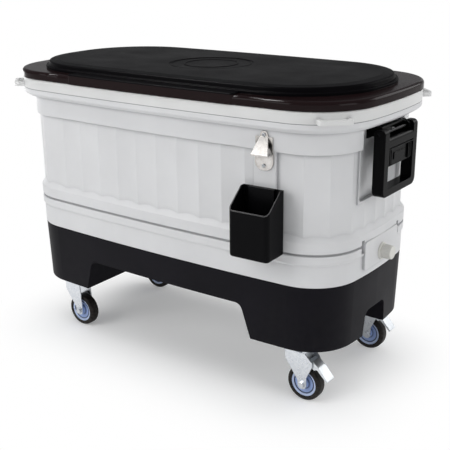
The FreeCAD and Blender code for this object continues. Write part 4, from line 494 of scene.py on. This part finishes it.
@dataclass(frozen=True)
class CastSteel(Finish):
    """Polished cast steel: a softly uneven skin, with painted shade in its hollows."""

    name: str
    colour: str
    hollow: str
    roughness: float
    # The colour, share and reach of painted shade in the casting's hollows.
    painted_shade: str = "#2E2B29"
    crease: float = 0.85
    crease_reach: float = 0.02
    fineness: float = 210.0
    patches: float = 45.0
    depth: float = 0.00002
    corner: float = 0.0016
    rougher: float = 0.12

    def build(self, nodes: Nodes, shader: bpy.types.Node) -> None:
        """Join the casting's nodes to its shader.

        Args:
            nodes: The material's tree.
            shader: Its shader.
        """
        grain = self.group(nodes, grain_group(), Fineness=self.fineness, Patches=self.patches)
        edge = self.group(nodes, edge_group(), Radius=self.corner)
        colour = nodes.blend(grain.outputs["Tone"], linear(self.hollow), linear(self.colour))
        # Painted shade: darker in the casting's hollows, by ambient occlusion.
        inner = self.group(nodes, crease_group(), Distance=self.crease_reach)
        colour = nodes.tint(colour, inner.outputs["Crease"], self.crease, self.painted_shade)
        nodes.join(colour, shader.inputs["Base Color"])
        rough = nodes.span(grain.outputs["Tone"], 0.0, 1.0, self.roughness + self.rougher, self.roughness)
        nodes.join(rough, shader.inputs["Roughness"])
        shader.inputs["Metallic"].default_value = 1.0
        self.relief(nodes, shader, grain.outputs["Height"], self.depth, edge.outputs["Normal"])


@dataclass(frozen=True)
class WheelPart(Finish):
    """A wheel's hub or tyre, whose colour goes by rings about its own axle."""

    name: str
    centre: tuple[float, float, float]
    inner: str
    outer: str
    step: float
    roughness: float
    depth: float
    specular: float = 0.5
    edge_tint: str = "#A6ADC8"
    edge_tint_share: float = 0.35
    dust: float = 0.0
    dust_reach: float = 0.14
    dust_fineness: float = 120.0
    dust_colour: str = "#77726B"
    # The share, reach and colour of painted shade in the hub's grooves.
    crease: float = 0.0
    crease_reach: float = 0.005
    painted_shade: str = "#1C2742"
    fineness: float = 800.0
    patches: float = 55.0
    corner: float = 0.0008
    step_half: float = 0.0004
    rougher: float = 0.06
    smoother: float = 0.04

    def build(self, nodes: Nodes, shader: bpy.types.Node) -> None:
        """Join the wheel's nodes to its shader.

        Args:
            nodes: The material's tree.
            shader: Its shader.
        """
        grain = self.group(nodes, grain_group(), Fineness=self.fineness, Patches=self.patches)
        edge = self.group(nodes, edge_group(), Radius=self.corner)
        about = nodes.vector("SUBTRACT", nodes.place(), self.centre)
        radius = nodes.vector("LENGTH", nodes.vector("MULTIPLY", about, (1, 0, 1)))
        ring = nodes.span(radius, self.step - self.step_half, self.step + self.step_half)
        colour = nodes.blend(ring, linear(self.inner), linear(self.outer))
        colour = nodes.tint(colour, edge.outputs["Edge"], self.edge_tint_share, self.edge_tint)
        # Painted shade: darker in grooves and inner corners, by ambient occlusion.
        if self.crease:
            inner = self.group(nodes, crease_group(), Distance=self.crease_reach)
            colour = nodes.tint(colour, inner.outputs["Crease"], self.crease, self.painted_shade)
        if self.dust:
            film = self.group(nodes, dust_group(), Reach=self.dust_reach, Fineness=self.dust_fineness)
            colour = nodes.tint(colour, film.outputs["Dust"], self.dust, self.dust_colour)
        nodes.join(colour, shader.inputs["Base Color"])
        rough = nodes.span(grain.outputs["Tone"], 0.0, 1.0, self.roughness + self.rougher,
                           self.roughness - self.smoother)
        nodes.join(rough, shader.inputs["Roughness"])
        shader.inputs["Specular IOR Level"].default_value = self.specular
        self.relief(nodes, shader, grain.outputs["Height"], self.depth, edge.outputs["Normal"])


# Shell and liner carry painted shade in their creases and a painted shade line along the rim seam.
SHELL_WHITE = MouldedPlastic("shell_white", "#E4E4E5", "#DEDEDF", "#F2F2F1", roughness=0.45, specular=0.2,
                             dust=0.05, dust_reach=0.5, crease=0.46, seam_height=RIM_SEAM)
LINER_WHITE = MouldedPlastic("liner_white", "#E6E6E5", "#DEDEDD", "#F3F3F2", roughness=0.38, crease=0.3,
                             seam_height=RIM_SEAM)
FOAM = MouldedPlastic("rigid_foam", "#D9CFA6", "#C9BC8E", "#E4DCB8", roughness=0.85, specular=0.2,
                      fineness=260.0, depth=0.0006)
BASE_CHARCOAL = MouldedPlastic("base_charcoal", "#0E0C14", "#0B0A10", "#26252C", roughness=0.5, specular=0.1,
                               fineness=700.0, depth=0.0001, corner=0.002, dust=0.02, dust_reach=0.36)
LID_BLACK = LidPlastic("lid_black", "#1D1213", "#0C0B0D", "#2A2222", top_height=0.8118)
DRAIN_WHITE = MouldedPlastic("drain_white", "#E4E3DE", "#DAD8D1", "#F1F0EB", roughness=0.34)
GASKET = MouldedPlastic("gasket_rubber", "#26262A", "#1E1E21", "#3D3D42", roughness=0.7, specular=0.3)
# The handle's light edge tint is partly rubbed wear and partly a painted highlight along its edges.
HANDLE_BLACK = MouldedPlastic("handle_black", "#060607", "#040405", "#2C2C30", roughness=0.26, edge_tint_share=0.35,
                              specular=0.04, depth=0.00003)
CATCHER_BLACK = MouldedPlastic("catcher_black", "#070709", "#050507", "#303035", roughness=0.34, edge_tint_share=0.4,
                               specular=0.06, fineness=760.0, depth=0.00008)
# The opener's steel carries painted shade in its hollows.
OPENER_STEEL = CastSteel("opener_steel", "#DAD7D4", "#BDB9B5", roughness=0.14)
ZINC = PlatedSteel("zinc_plate", "#D6DAE0", "#E2E5E9", "#B4B8BE", roughness=0.28)
SCREW_STEEL = PlatedSteel("screw_steel", "#A6A8AC", "#B8BABD", "#8A8C90", roughness=0.22)
BLACK_ZINC = PlatedSteel("black_zinc", "#161618", "#1B1B1D", "#2A2A2C", roughness=0.4)
PEDAL_ZINC = PlatedSteel("pedal_plate", "#DCE0E4", "#E7EAED", "#BEC2C6", roughness=0.34)


@dataclass
class Frame:
    """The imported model, with the calls that dress its nodes and add pieces to it."""

    nodes: dict[str, bpy.types.Object]

    def dress(self, node: str, finish: Finish) -> None:
        """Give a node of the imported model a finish.

        Args:
            node: The node's name.
            finish: Its finish.
        """
        for slot in self.nodes[node].material_slots:
            slot.material = finish.make()
        LOG.info("dressed %s in %s", node, finish.name)

    @staticmethod
    def add(name: str, mesh: bpy.types.Mesh, body: str, slot: str) -> bpy.types.Object:
        """Add a piece whose mesh is already in place.

        Args:
            name: The piece's name.
            mesh: Its mesh, with its material.
            body: The body that it rides on.
            slot: Not used.

        Returns:
            The piece's object.
        """
        piece = bpy.data.objects.new(name, mesh)
        bpy.context.scene.collection.objects.link(piece)
        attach(piece, body)
        LOG.info("added %s on %s with %d faces", name, body, len(mesh.polygons))
        return piece


def mesh_from(name: str, draw: Callable[[bmesh.types.BMesh], None], finish: Finish | None = None,
              smooth: bool = False) -> bpy.types.Mesh:
    """Make a mesh from a drawing function.

    Args:
        name: The mesh's name.
        draw: What fills the empty bmesh.
        finish: The finish it gets, if any.
        smooth: Whether its faces are shaded smooth.

    Returns:
        The mesh, with its normals turned outwards.
    """
    work = bmesh.new()
    draw(work)
    bmesh.ops.remove_doubles(work, verts=work.verts, dist=MERGE_DISTANCE)
    bmesh.ops.recalc_face_normals(work, faces=work.faces)
    for face in work.faces:
        face.smooth = smooth
    mesh = bpy.data.meshes.new(name)
    work.to_mesh(mesh)
    work.free()
    if finish:
        mesh.materials.append(finish.make())
    return mesh


def soft_block(work: bmesh.types.BMesh, size: tuple[float, float, float], bevel: float) -> None:
    """Draw a block with rounded edges about the origin."""
    bmesh.ops.create_cube(work, size=1.0, matrix=Matrix.Diagonal((*size, 1.0)))
    bmesh.ops.bevel(work, geom=work.edges[:], offset=bevel, segments=2, profile=0.5, affect="EDGES")


@dataclass(frozen=True)
class CrossScrew:
    """A pan-headed screw with a cross recess, along +Z with its seat at the origin.

    The crown's points are shares of the head's radius and height.
    """

    head_radius: float = 5 * MM
    head: float = 3 * MM
    shank_radius: float = 2.5 * MM
    length: float = 10 * MM
    arm: float = 2.7 * MM
    slot_half: float = 0.5 * MM
    recess: float = 1.6 * MM
    recess_taper: float = 0.55
    crown: tuple[tuple[float, float], ...] = ((1.0, 0.5), (0.96, 0.7), (0.86, 0.9), (0.7, 1.0))
    segments: int = 24

    def ring(self, work: bmesh.types.BMesh, radius: float, height: float) -> list[bmesh.types.BMVert]:
        """Draw a ring of points about the screw's axis."""
        turns = [math.tau * index / self.segments for index in range(self.segments)]
        return [work.verts.new((radius * math.cos(t), radius * math.sin(t), height)) for t in turns]

    def cross(self, work: bmesh.types.BMesh, scale: float, height: float) -> list[bmesh.types.BMVert]:
        """Draw the twelve corners of the cross, from its right arm round to the left.

        Args:
            work: The bmesh to draw in.
            scale: The cross's size as a share of its mouth.
            height: How high it lies.

        Returns:
            The corners in order.
        """
        arm, half = self.arm * scale, self.slot_half * scale
        quarter = ((arm, -half), (arm, half), (half, half))
        turns = ((1, 0), (0, 1), (-1, 0), (0, -1))
        return [work.verts.new((x * c - y * s, x * s + y * c, height)) for c, s in turns for x, y in quarter]

    def draw(self, work: bmesh.types.BMesh) -> None:
        """Draw the whole screw.

        Args:
            work: The bmesh to draw in.
        """
        radius, top = self.head_radius, self.head
        shank = [(self.shank_radius, -self.length), (self.shank_radius, 0.0), (radius, 0.0)]
        profile = shank + [(radius * across, top * up) for across, up in self.crown]
        rings = [self.ring(work, r, z) for r, z in profile]
        mouth, floor = self.cross(work, 1.0, top), self.cross(work, self.recess_taper, top - self.recess)
        for low, high in (*zip(rings, rings[1:]), (mouth, floor)):
            for index, corner in enumerate(low):
                after = (index + 1) % len(low)
                work.faces.new((corner, low[after], high[after], high[index]))
        work.faces.new(rings[0])
        work.faces.new(floor)
        loops = (rings[-1], mouth)
        rims = [work.edges.get((loop[i - 1], loop[i])) for loop in loops for i in range(len(loop))]
        bmesh.ops.triangle_fill(work, edges=rims, use_beauty=True)


def joined(name: str, *meshes: bpy.types.Mesh) -> bpy.types.Mesh:
    """Put several meshes of one finish together as one.

    Args:
        name: The new mesh's name.
        *meshes: The meshes.

    Returns:
        The new mesh.
    """
    work = bmesh.new()
    for mesh in meshes:
        work.from_mesh(mesh)
    whole = bpy.data.meshes.new(name)
    work.to_mesh(whole)
    work.free()
    whole.materials.append(meshes[0].materials[0])
    return whole


def turned_ring(work: bmesh.types.BMesh, profile: list[tuple[float, float]], steps: int) -> None:
    """Draw a closed profile turned about the Z axis.

    Args:
        work: The bmesh to draw in.
        profile: The profile's points, as radius and height.
        steps: How many places round the axis it is drawn at.
    """
    rows = []
    for index in range(steps):
        turn = math.tau * index / steps
        rows.append([work.verts.new((r * math.cos(turn), r * math.sin(turn), z)) for r, z in profile])
    for index, row in enumerate(rows):
        after = rows[(index + 1) % steps]
        for point in range(len(profile)):
            work.faces.new((row[point - 1], row[point], after[point], after[point - 1]))


class Patterns:
    """Geometry Nodes trees that repeat a small mesh."""

    @staticmethod
    def start(name: str, inputs: dict[str, str]) -> tuple[Nodes, Any]:
        """Begin a tree that takes a mesh, the named inputs and a finish.

        Args:
            name: The tree's name.
            inputs: Each input's name and socket type.

        Returns:
            The tree to build in and its input node.
        """
        tree = bpy.data.node_groups.new(name, "GeometryNodeTree")
        tree.interface.new_socket("Geometry", in_out="INPUT", socket_type="NodeSocketGeometry")
        for label, kind in inputs.items():
            tree.interface.new_socket(label, in_out="INPUT", socket_type=kind)
        tree.interface.new_socket("Finish", in_out="INPUT", socket_type="NodeSocketMaterial")
        tree.interface.new_socket("Geometry", in_out="OUTPUT", socket_type="NodeSocketGeometry")
        nodes = Nodes(tree)
        return nodes, nodes.add("NodeGroupInput")

    @staticmethod
    def end(nodes: Nodes, given: Any, shape: Any) -> bpy.types.NodeTree:
        """Finish a tree: make its copies real and give them their finish.

        Args:
            nodes: The tree.
            given: Its input node.
            shape: The copies.

        Returns:
            The finished tree.
        """
        real = nodes.add("GeometryNodeRealizeInstances", {0: shape}).outputs[0]
        painted = nodes.add("GeometryNodeSetMaterial", {"Geometry": real,
                                                        "Material": given.outputs["Finish"]})
        nodes.add("NodeGroupOutput", {0: painted.outputs[0]})
        return nodes.tree

    @staticmethod
    def copies(nodes: Nodes, given: Any, points: Any, turn: Any) -> bpy.types.NodeSocket:
        """Put a turned copy of the tree's mesh on each point."""
        inputs = {"Points": points, "Instance": given.outputs["Geometry"], "Rotation": turn}
        return nodes.add("GeometryNodeInstanceOnPoints", inputs).outputs[0]

    @classmethod
    @functools.cache
    def ring(cls) -> bpy.types.NodeTree:
        """Copies round a ring, each with its X pointing outwards, the ring then turned and put in place.

        Returns:
            The tree.
        """
        nodes, given = cls.start("ring_of_copies", {
            "Count": "NodeSocketInt", "Radius": "NodeSocketFloat", "Turn": "NodeSocketVector",
            "Centre": "NodeSocketVector"})
        size = {"Vertices": given.outputs["Count"], "Radius": given.outputs["Radius"]}
        circle = nodes.add("GeometryNodeMeshCircle", size).outputs[0]
        place = nodes.add("GeometryNodeInputPosition").outputs[0]
        outward = nodes.add("FunctionNodeAlignRotationToVector", {"Vector": place}, axis="X", pivot_axis="Z")
        copies = cls.copies(nodes, given, circle, outward.outputs[0])
        seat = {"Translation": given.outputs["Centre"], "Rotation": given.outputs["Turn"]}
        moved = nodes.add("GeometryNodeTransform", {"Geometry": copies, **seat})
        return cls.end(nodes, given, moved.outputs[0])

    @classmethod
    @functools.cache
    def row(cls) -> bpy.types.NodeTree:
        """Copies along a straight row, all turned the same way.

        Returns:
            The tree.
        """
        nodes, given = cls.start("row_of_copies", {
            "Count": "NodeSocketInt", "Start": "NodeSocketVector", "Step": "NodeSocketVector",
            "Turn": "NodeSocketVector"})
        line = nodes.add("GeometryNodeMeshLine", {"Count": given.outputs["Count"],
                                                  "Start Location": given.outputs["Start"],
                                                  "Offset": given.outputs["Step"]})
        turn = nodes.add("FunctionNodeEulerToRotation", {0: given.outputs["Turn"]})
        return cls.end(nodes, given, cls.copies(nodes, given, line.outputs[0], turn.outputs[0]))

    @staticmethod
    def grow(name: str, seed: bpy.types.Mesh, tree: bpy.types.NodeTree, finish: Finish,
             **values: Any) -> bpy.types.Mesh:
        """Repeat a small mesh by a tree.

        Args:
            name: The result's name.
            seed: The mesh that is repeated.
            tree: The tree that repeats it.
            finish: The finish of the copies.
            **values: The tree's inputs by name.

        Returns:
            One plain mesh with every copy in it.
        """
        host = bpy.data.objects.new(name, seed)
        pattern = host.modifiers.new("pattern", "NODES")
        pattern.node_group = tree
        values["Finish"] = finish.make()
        for item in tree.interface.items_tree:
            if item.in_out == "INPUT" and item.name in values:
                pattern[item.identifier] = values[item.name]
        bpy.context.scene.collection.objects.link(host)
        graph = bpy.context.evaluated_depsgraph_get()
        mesh = bpy.data.meshes.new_from_object(host.evaluated_get(graph), depsgraph=graph)
        host.modifiers.remove(pattern)
        bpy.data.objects.remove(host)
        mesh.name = name
        return mesh


@dataclass
class Tub:
    """The white tub: its fluted shell, the liner whose flange is the rim, and the foam between them."""

    frame: Frame

    def dress(self) -> None:
        """Give the tub's nodes their finishes."""
        self.frame.dress("outer_shell", SHELL_WHITE)
        self.frame.dress("inner_liner", LINER_WHITE)
        self.frame.dress("insulation_foam", FOAM)


@dataclass
class Lid:
    """The black lift-off lid with its liner and foam, and the plain rings in its round place.

    The points of a ring's side are shares of half its width and of its height.
    """

    frame: Frame
    ring_radii: tuple[float, ...] = (0.1135, 0.0755)
    ring_width: float = 0.0036
    ring_height: float = 0.001
    ring_side: tuple[tuple[float, float], ...] = ((1.0, 0.0), (0.8, 0.7), (0.4, 1.0))
    place_depth: float = 0.0012
    ring_steps: int = 160

    def dress(self) -> None:
        """Give the lid's nodes their finishes."""
        self.frame.dress("lid_shell", LID_BLACK)
        self.frame.dress("lid_liner", LINER_WHITE)
        self.frame.dress("lid_foam", FOAM)

    def build(self) -> None:
        """Add the plain rings in the round place on top."""
        low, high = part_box("lid_shell")
        middle = (low + high) / 2
        floor = high.z - self.place_depth
        half, rise = self.ring_width / 2, self.ring_height
        outer = [(half * across, floor + rise * up) for across, up in self.ring_side]
        profile = outer + [(-across, height) for across, height in reversed(outer)]

        def draw(work: bmesh.types.BMesh) -> None:
            """Draw each ring about the lid's middle."""
            for radius in self.ring_radii:
                turned_ring(work, [(radius + across, height) for across, height in profile], self.ring_steps)
            bmesh.ops.translate(work, verts=work.verts, vec=(middle.x, middle.y, 0.0))

        mesh = mesh_from("lid_rings", draw, LID_BLACK, smooth=True)
        self.frame.add("lid_rings", mesh, "lid", "lid_black")


@dataclass
class RollingBase:
    """The charcoal base that the tub stands in."""

    frame: Frame

    def dress(self) -> None:
        """Give the base's nodes their finishes."""
        self.frame.dress("rolling_base", BASE_CHARCOAL)
        self.frame.dress("base_screws", ZINC)


@dataclass
class Drain:
    """The drain at the right end, whose cap has grip ribs."""

    frame: Frame
    ribs: int = 28
    rib_size: tuple[float, float, float] = (0.0016, 0.0018, 0.014)
    rib_bevel: float = 0.0006

    def dress(self) -> None:
        """Give the drain's nodes their finishes."""
        for node in ("drain_fitting", "drain_nut", "drain_cap"):
            self.frame.dress(node, DRAIN_WHITE)
        self.frame.dress("drain_gasket", GASKET)

    def build(self) -> None:
        """Add the grip ribs round the cap."""
        low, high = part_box("drain_cap")
        centre = (low + high) / 2
        seed = mesh_from("grip_rib", lambda work: soft_block(work, self.rib_size, self.rib_bevel))
        mesh = Patterns.grow("drain_cap_ribs", seed, Patterns.ring(), DRAIN_WHITE, Count=self.ribs,
                             Radius=(high.z - low.z) / 2, Turn=(0.0, math.pi / 2, 0.0), Centre=tuple(centre))
        self.frame.add("drain_cap_ribs", mesh, "drain_screw_cap", "drain_white")


@dataclass
class EndHandle:
    """A swinging end handle with its bracket and pin."""

    frame: Frame
    side: Side

    def dress(self) -> None:
        """Give the handle's nodes their finishes."""
        self.frame.dress(f"handle_bracket_{self.side.word}", HANDLE_BLACK)
        self.frame.dress(f"side_handle_{self.side.word}", HANDLE_BLACK)
        self.frame.dress(f"handle_pin_{self.side.word}", BLACK_ZINC)


@dataclass
class OpenerStation:
    """The bottle opener and the cap catcher under it, with their fixings."""

    frame: Frame
    screw: CrossScrew = CrossScrew()
    pad_turn: float = math.radians(2.435)

    def dress(self) -> None:
        """Give the station's nodes their finishes."""
        self.frame.dress("bottle_opener", OPENER_STEEL)
        self.frame.dress("catcher_hanger", CATCHER_BLACK)
        self.frame.dress("catcher_screws", ZINC)
        self.frame.dress("cap_catcher", CATCHER_BLACK)

    def build(self) -> None:
        """Add the opener's two cross-headed screws."""
        low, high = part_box("opener_screws")
        radius, head = self.screw.head_radius, self.screw.head
        start = ((low.x + high.x) / 2, low.y + head, high.z - radius)
        seed = mesh_from("opener_screw", self.screw.draw)
        mesh = Patterns.grow("opener_cross_screws", seed, Patterns.row(), SCREW_STEEL, Count=2, Start=start,
                             Step=(0.0, 0.0, low.z - high.z + radius * 2),
                             Turn=(math.pi / 2, 0.0, self.pad_turn))
        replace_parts(self.frame.add("opener_cross_screws", mesh, "tub", "zinc"), "opener_screws")


@dataclass
class BracketScrews:
    """The cross-headed screws of both handle brackets."""

    frame: Frame
    screw: CrossScrew = CrossScrew()

    def build(self) -> None:
        """Add a row of two screws at each end of the tub."""
        low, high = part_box("handle_bracket_screws")
        radius, head = self.screw.head_radius, self.screw.head
        seed = mesh_from("bracket_screw", self.screw.draw)
        rows = []
        for side in Side:
            x = high.x - head if side is Side.RIGHT else low.x + head
            rows.append(Patterns.grow(f"bracket_row_{side.word}", seed, Patterns.row(), BLACK_ZINC, Count=2,
                                      Start=(x, low.y + radius, (low.z + high.z) / 2),
                                      Step=(0.0, high.y - low.y - radius * 2, 0.0),
                                      Turn=(0.0, math.pi / 2 * side.value, 0.0)))
        mesh = joined("bracket_cross_screws", *rows)
        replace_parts(self.frame.add("bracket_cross_screws", mesh, "tub", "zinc"), "handle_bracket_screws")


@dataclass
class Caster:
    """One swivel caster: plate, fork, axle, hub and tyre, with a pedal where it is braked."""

    frame: Frame
    corner: Corner
    hub_step: float = 0.0305
    tyre_step: float = 0.044

    def dress(self) -> None:
        """Give the caster's nodes their finishes."""
        name = self.corner.value
        for node in ("caster_plate", "caster_fork", "caster_axle"):
            self.frame.dress(f"{node}_{name}", ZINC)
        low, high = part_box(f"tyre_{name}")
        centre = tuple((low + high) / 2)
        # The hub carries painted shade in its grooves.
        hub = WheelPart(f"hub_blue_{name}", centre, "#9DB3E2", "#C6D4F2", self.hub_step, roughness=0.34,
                        depth=0.00004, crease=0.75)
        tyre = WheelPart(f"tyre_black_{name}", centre, "#1A1614", "#171311", self.tyre_step, roughness=0.5,
                         depth=0.00012, specular=0.2, edge_tint="#3A3836", dust=0.2)
        self.frame.dress(f"wheel_hub_{name}", hub)
        self.frame.dress(f"tyre_{name}", tyre)
        if self.corner.braked:
            self.frame.dress(f"brake_pedal_{name}", PEDAL_ZINC)


@dataclass(frozen=True)
class SoftBox:
    """A soft lamp that hangs at a place and points at its aim, with its roll about that in degrees."""

    name: str
    place: tuple[float, float, float]
    size: tuple[float, float]
    watts: float
    aim: tuple[float, float, float]
    lights: Lights = Lights.ALL
    roll: float = 0.0

    def hang(self) -> None:
        """Hang the lamp."""
        data = bpy.data.lights.new(self.name, "AREA")
        data.shape = "RECTANGLE"
        data.size, data.size_y = self.size
        data.energy = self.watts
        lamp = bpy.data.objects.new(self.name, data)
        way = Vector(self.aim) - Vector(self.place)
        turn = way.to_track_quat("-Z", "Y").to_matrix().to_4x4()
        roll = Matrix.Rotation(math.radians(self.roll), 4, "Z")
        lamp.matrix_world = Matrix.Translation(self.place) @ turn @ roll
        lamp.visible_glossy = self.lights is not Lights.SHADING
        lamp.visible_diffuse = self.lights is not Lights.GLOSS
        bpy.context.scene.collection.objects.link(lamp)


SOFT_BOXES = (
    SoftBox("overhead", place=(-0.3, -0.3, 3.0), size=(3.2, 2.4), watts=34.0, aim=(0.0, 0.0, 0.0),
            lights=Lights.SHADING),
    SoftBox("front", place=(-1.4, -3.0, 1.9), size=(2.4, 1.8), watts=43.0, aim=(0.0, 0.0, 0.5)),
    SoftBox("end", place=(3.2, -0.4, 1.3), size=(1.6, 1.6), watts=18.0, aim=(0.4, 0.0, 0.5)),
    SoftBox("back", place=(1.9, 2.9, 1.7), size=(2.2, 1.6), watts=22.0, aim=(0.0, 0.0, 0.5),
            lights=Lights.SHADING),
    SoftBox("edge_box", place=(-0.92, -0.56, 2.36), size=(0.7, 1.15), watts=95.0, aim=(0.2, -0.3, 0.8),
            lights=Lights.GLOSS, roll=56.0),
    SoftBox("left_window", place=(-2.75, 1.05, 0.45), size=(1.8, 0.3), watts=7.0, aim=(-0.5, 0.0, 0.8),
            lights=Lights.GLOSS),
    SoftBox("rear_window", place=(1.65, 2.3, 1.7), size=(1.6, 1.2), watts=20.0, aim=(0.5, -0.1, 0.2),
            lights=Lights.GLOSS),
)


@dataclass
class Studio:
    """The white floor and backdrop, the soft lamps and the camera."""

    target: tuple[float, float, float] = (0.0278, 0.03784, 0.3517)
    distance: float = 2.5416
    azimuth: float = 36.2
    elevation: float = 18.7
    roll: float = -0.6
    focal_pixels: float = 849.3
    floor_half: float = 6.0
    floor_cells: int = 4
    floor_shade: tuple[float, float, float, float] = (0.93, 0.93, 0.93, 1.0)
    floor_roughness: float = 0.9
    floor_glow: float = 0.2
    shadow_half: tuple[float, float, float] = (0.38, 0.14, 0.0)
    shadow_fade: float = 0.36
    room_colour: tuple[float, float, float, float] = (0.96, 0.98, 1.0, 1.0)
    room_light: float = 0.34
    backdrop_top: float = 0.16

    def camera(self) -> None:
        """Put the camera where the photograph was taken from."""
        azimuth, elevation, roll = (math.radians(a) for a in (self.azimuth, self.elevation, self.roll))
        back = Vector((math.sin(azimuth) * math.cos(elevation), -math.cos(azimuth) * math.cos(elevation),
                       math.sin(elevation)))
        right = Vector((math.cos(azimuth), math.sin(azimuth), 0.0))
        up = back.cross(right)
        across = right * math.cos(roll) + up * math.sin(roll)
        upward = up * math.cos(roll) - right * math.sin(roll)
        data = bpy.data.cameras.new("camera")
        data.sensor_width = SENSOR
        data.lens = self.focal_pixels / PHOTO_PIXELS * SENSOR
        camera = bpy.data.objects.new("camera", data)
        place = Vector(self.target) + back * self.distance
        camera.matrix_world = Matrix((
            (across.x, upward.x, back.x, place.x), (across.y, upward.y, back.y, place.y),
            (across.z, upward.z, back.z, place.z), (0, 0, 0, 1)))
        bpy.context.scene.collection.objects.link(camera)
        bpy.context.scene.camera = camera

    @staticmethod
    def rays(nodes: Nodes) -> tuple[bpy.types.NodeSocket, bpy.types.NodeSocket]:
        """Tell apart the rays that see the background.

        Args:
            nodes: The tree to build in.

        Returns:
            Masks of the rays straight from the camera, and of those that gloss or glass has turned.
        """
        path = nodes.add("ShaderNodeLightPath").outputs
        turned = nodes.math("MAXIMUM", path["Is Glossy Ray"], path["Is Transmission Ray"])
        return path["Is Camera Ray"], turned

    def world(self) -> None:
        """Light the room softly, with a white backdrop for the camera and, low down, for reflections."""
        world = bpy.data.worlds.new("studio")
        world.use_nodes = True
        bpy.context.scene.world = world
        nodes = Nodes(world.node_tree)
        world.node_tree.nodes.clear()
        place = nodes.add("ShaderNodeTexCoord").outputs["Generated"]
        up = nodes.add("ShaderNodeSeparateXYZ", {0: place}).outputs["Z"]
        low = nodes.span(up, 0.0, self.backdrop_top, 1.0, 0.0)
        straight, turned = self.rays(nodes)
        share = nodes.math("MAXIMUM", straight, nodes.math("MULTIPLY", turned, low))
        room = nodes.add("ShaderNodeBackground", {"Color": self.room_colour, "Strength": self.room_light})
        white = nodes.add("ShaderNodeBackground", {"Color": WHITE, "Strength": 1.0})
        both = nodes.add("ShaderNodeMixShader", {0: share, 1: room.outputs[0], 2: white.outputs[0]})
        nodes.add("ShaderNodeOutputWorld", {"Surface": both.outputs[0]})

    def floor_finish(self) -> bpy.types.Material:
        """Make the floor's white, which keeps the object's shadow near it and is plain further out.

        Returns:
            The floor's material.
        """
        material = bpy.data.materials.new("floor_white")
        material.use_nodes = True
        nodes = Nodes(material.node_tree)
        shader = material.node_tree.nodes["Principled BSDF"]
        shader.inputs["Base Color"].default_value = self.floor_shade
        shader.inputs["Roughness"].default_value = self.floor_roughness
        shader.inputs["Specular IOR Level"].default_value = 0.0
        straight, turned = self.rays(nodes)
        strength = nodes.math("MULTIPLY", straight, self.floor_glow)
        glow = nodes.add("ShaderNodeEmission", {"Color": WHITE, "Strength": strength})
        lit = nodes.add("ShaderNodeAddShader", {0: shader.outputs[0], 1: glow.outputs[0]})
        past = nodes.vector("SUBTRACT", nodes.vector("ABSOLUTE", nodes.place()), self.shadow_half)
        away = nodes.vector("LENGTH", nodes.vector("MAXIMUM", past, (0, 0, 0)))
        plain = nodes.add("ShaderNodeMapRange", {0: away, 2: self.shadow_fade},
                          interpolation_type="SMOOTHSTEP")
        white = nodes.add("ShaderNodeEmission", {"Color": WHITE, "Strength": 1.0})
        share = nodes.math("MULTIPLY", nodes.math("MAXIMUM", straight, turned), plain.outputs[0])
        both = nodes.add("ShaderNodeMixShader", {0: share, 1: lit.outputs[0], 2: white.outputs[0]})
        nodes.join(both.outputs[0], material.node_tree.nodes["Material Output"].inputs["Surface"])
        return material

    def floor(self) -> None:
        """Lay the floor."""
        cells, half = self.floor_cells, self.floor_half

        def draw(work: bmesh.types.BMesh) -> None:
            """Draw a flat square."""
            bmesh.ops.create_grid(work, x_segments=cells, y_segments=cells, size=half)

        mesh = mesh_from("floor", draw)
        mesh.materials.append(self.floor_finish())
        floor = bpy.data.objects.new("floor", mesh)
        bpy.context.scene.collection.objects.link(floor)

    def build(self) -> None:
        """Set up the whole studio."""
        self.camera()
        for box in SOFT_BOXES:
            box.hang()
        self.world()
        self.floor()
        bpy.context.scene.view_settings.view_transform = "Standard"
        LOG.info("studio ready")


def main() -> None:
    """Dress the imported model, add its small pieces and set up the studio."""
    logging.basicConfig(level=logging.INFO, format="%(name)s: %(message)s")
    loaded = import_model()
    frame = Frame(loaded["nodes"])
    tub, lid, base = Tub(frame), Lid(frame), RollingBase(frame)
    drain, station = Drain(frame), OpenerStation(frame)
    handles = [EndHandle(frame, side) for side in Side]
    casters = [Caster(frame, corner) for corner in Corner]
    for assembly in (tub, lid, base, drain, station, *handles, *casters):
        assembly.dress()
    frame.dress("caster_bolts", ZINC)
    frame.dress("caster_kingpins", ZINC)
    for assembly in (lid, drain, station, BracketScrews(frame)):
        assembly.build()
    Studio().build()


if __name__ == "__main__":
    main()
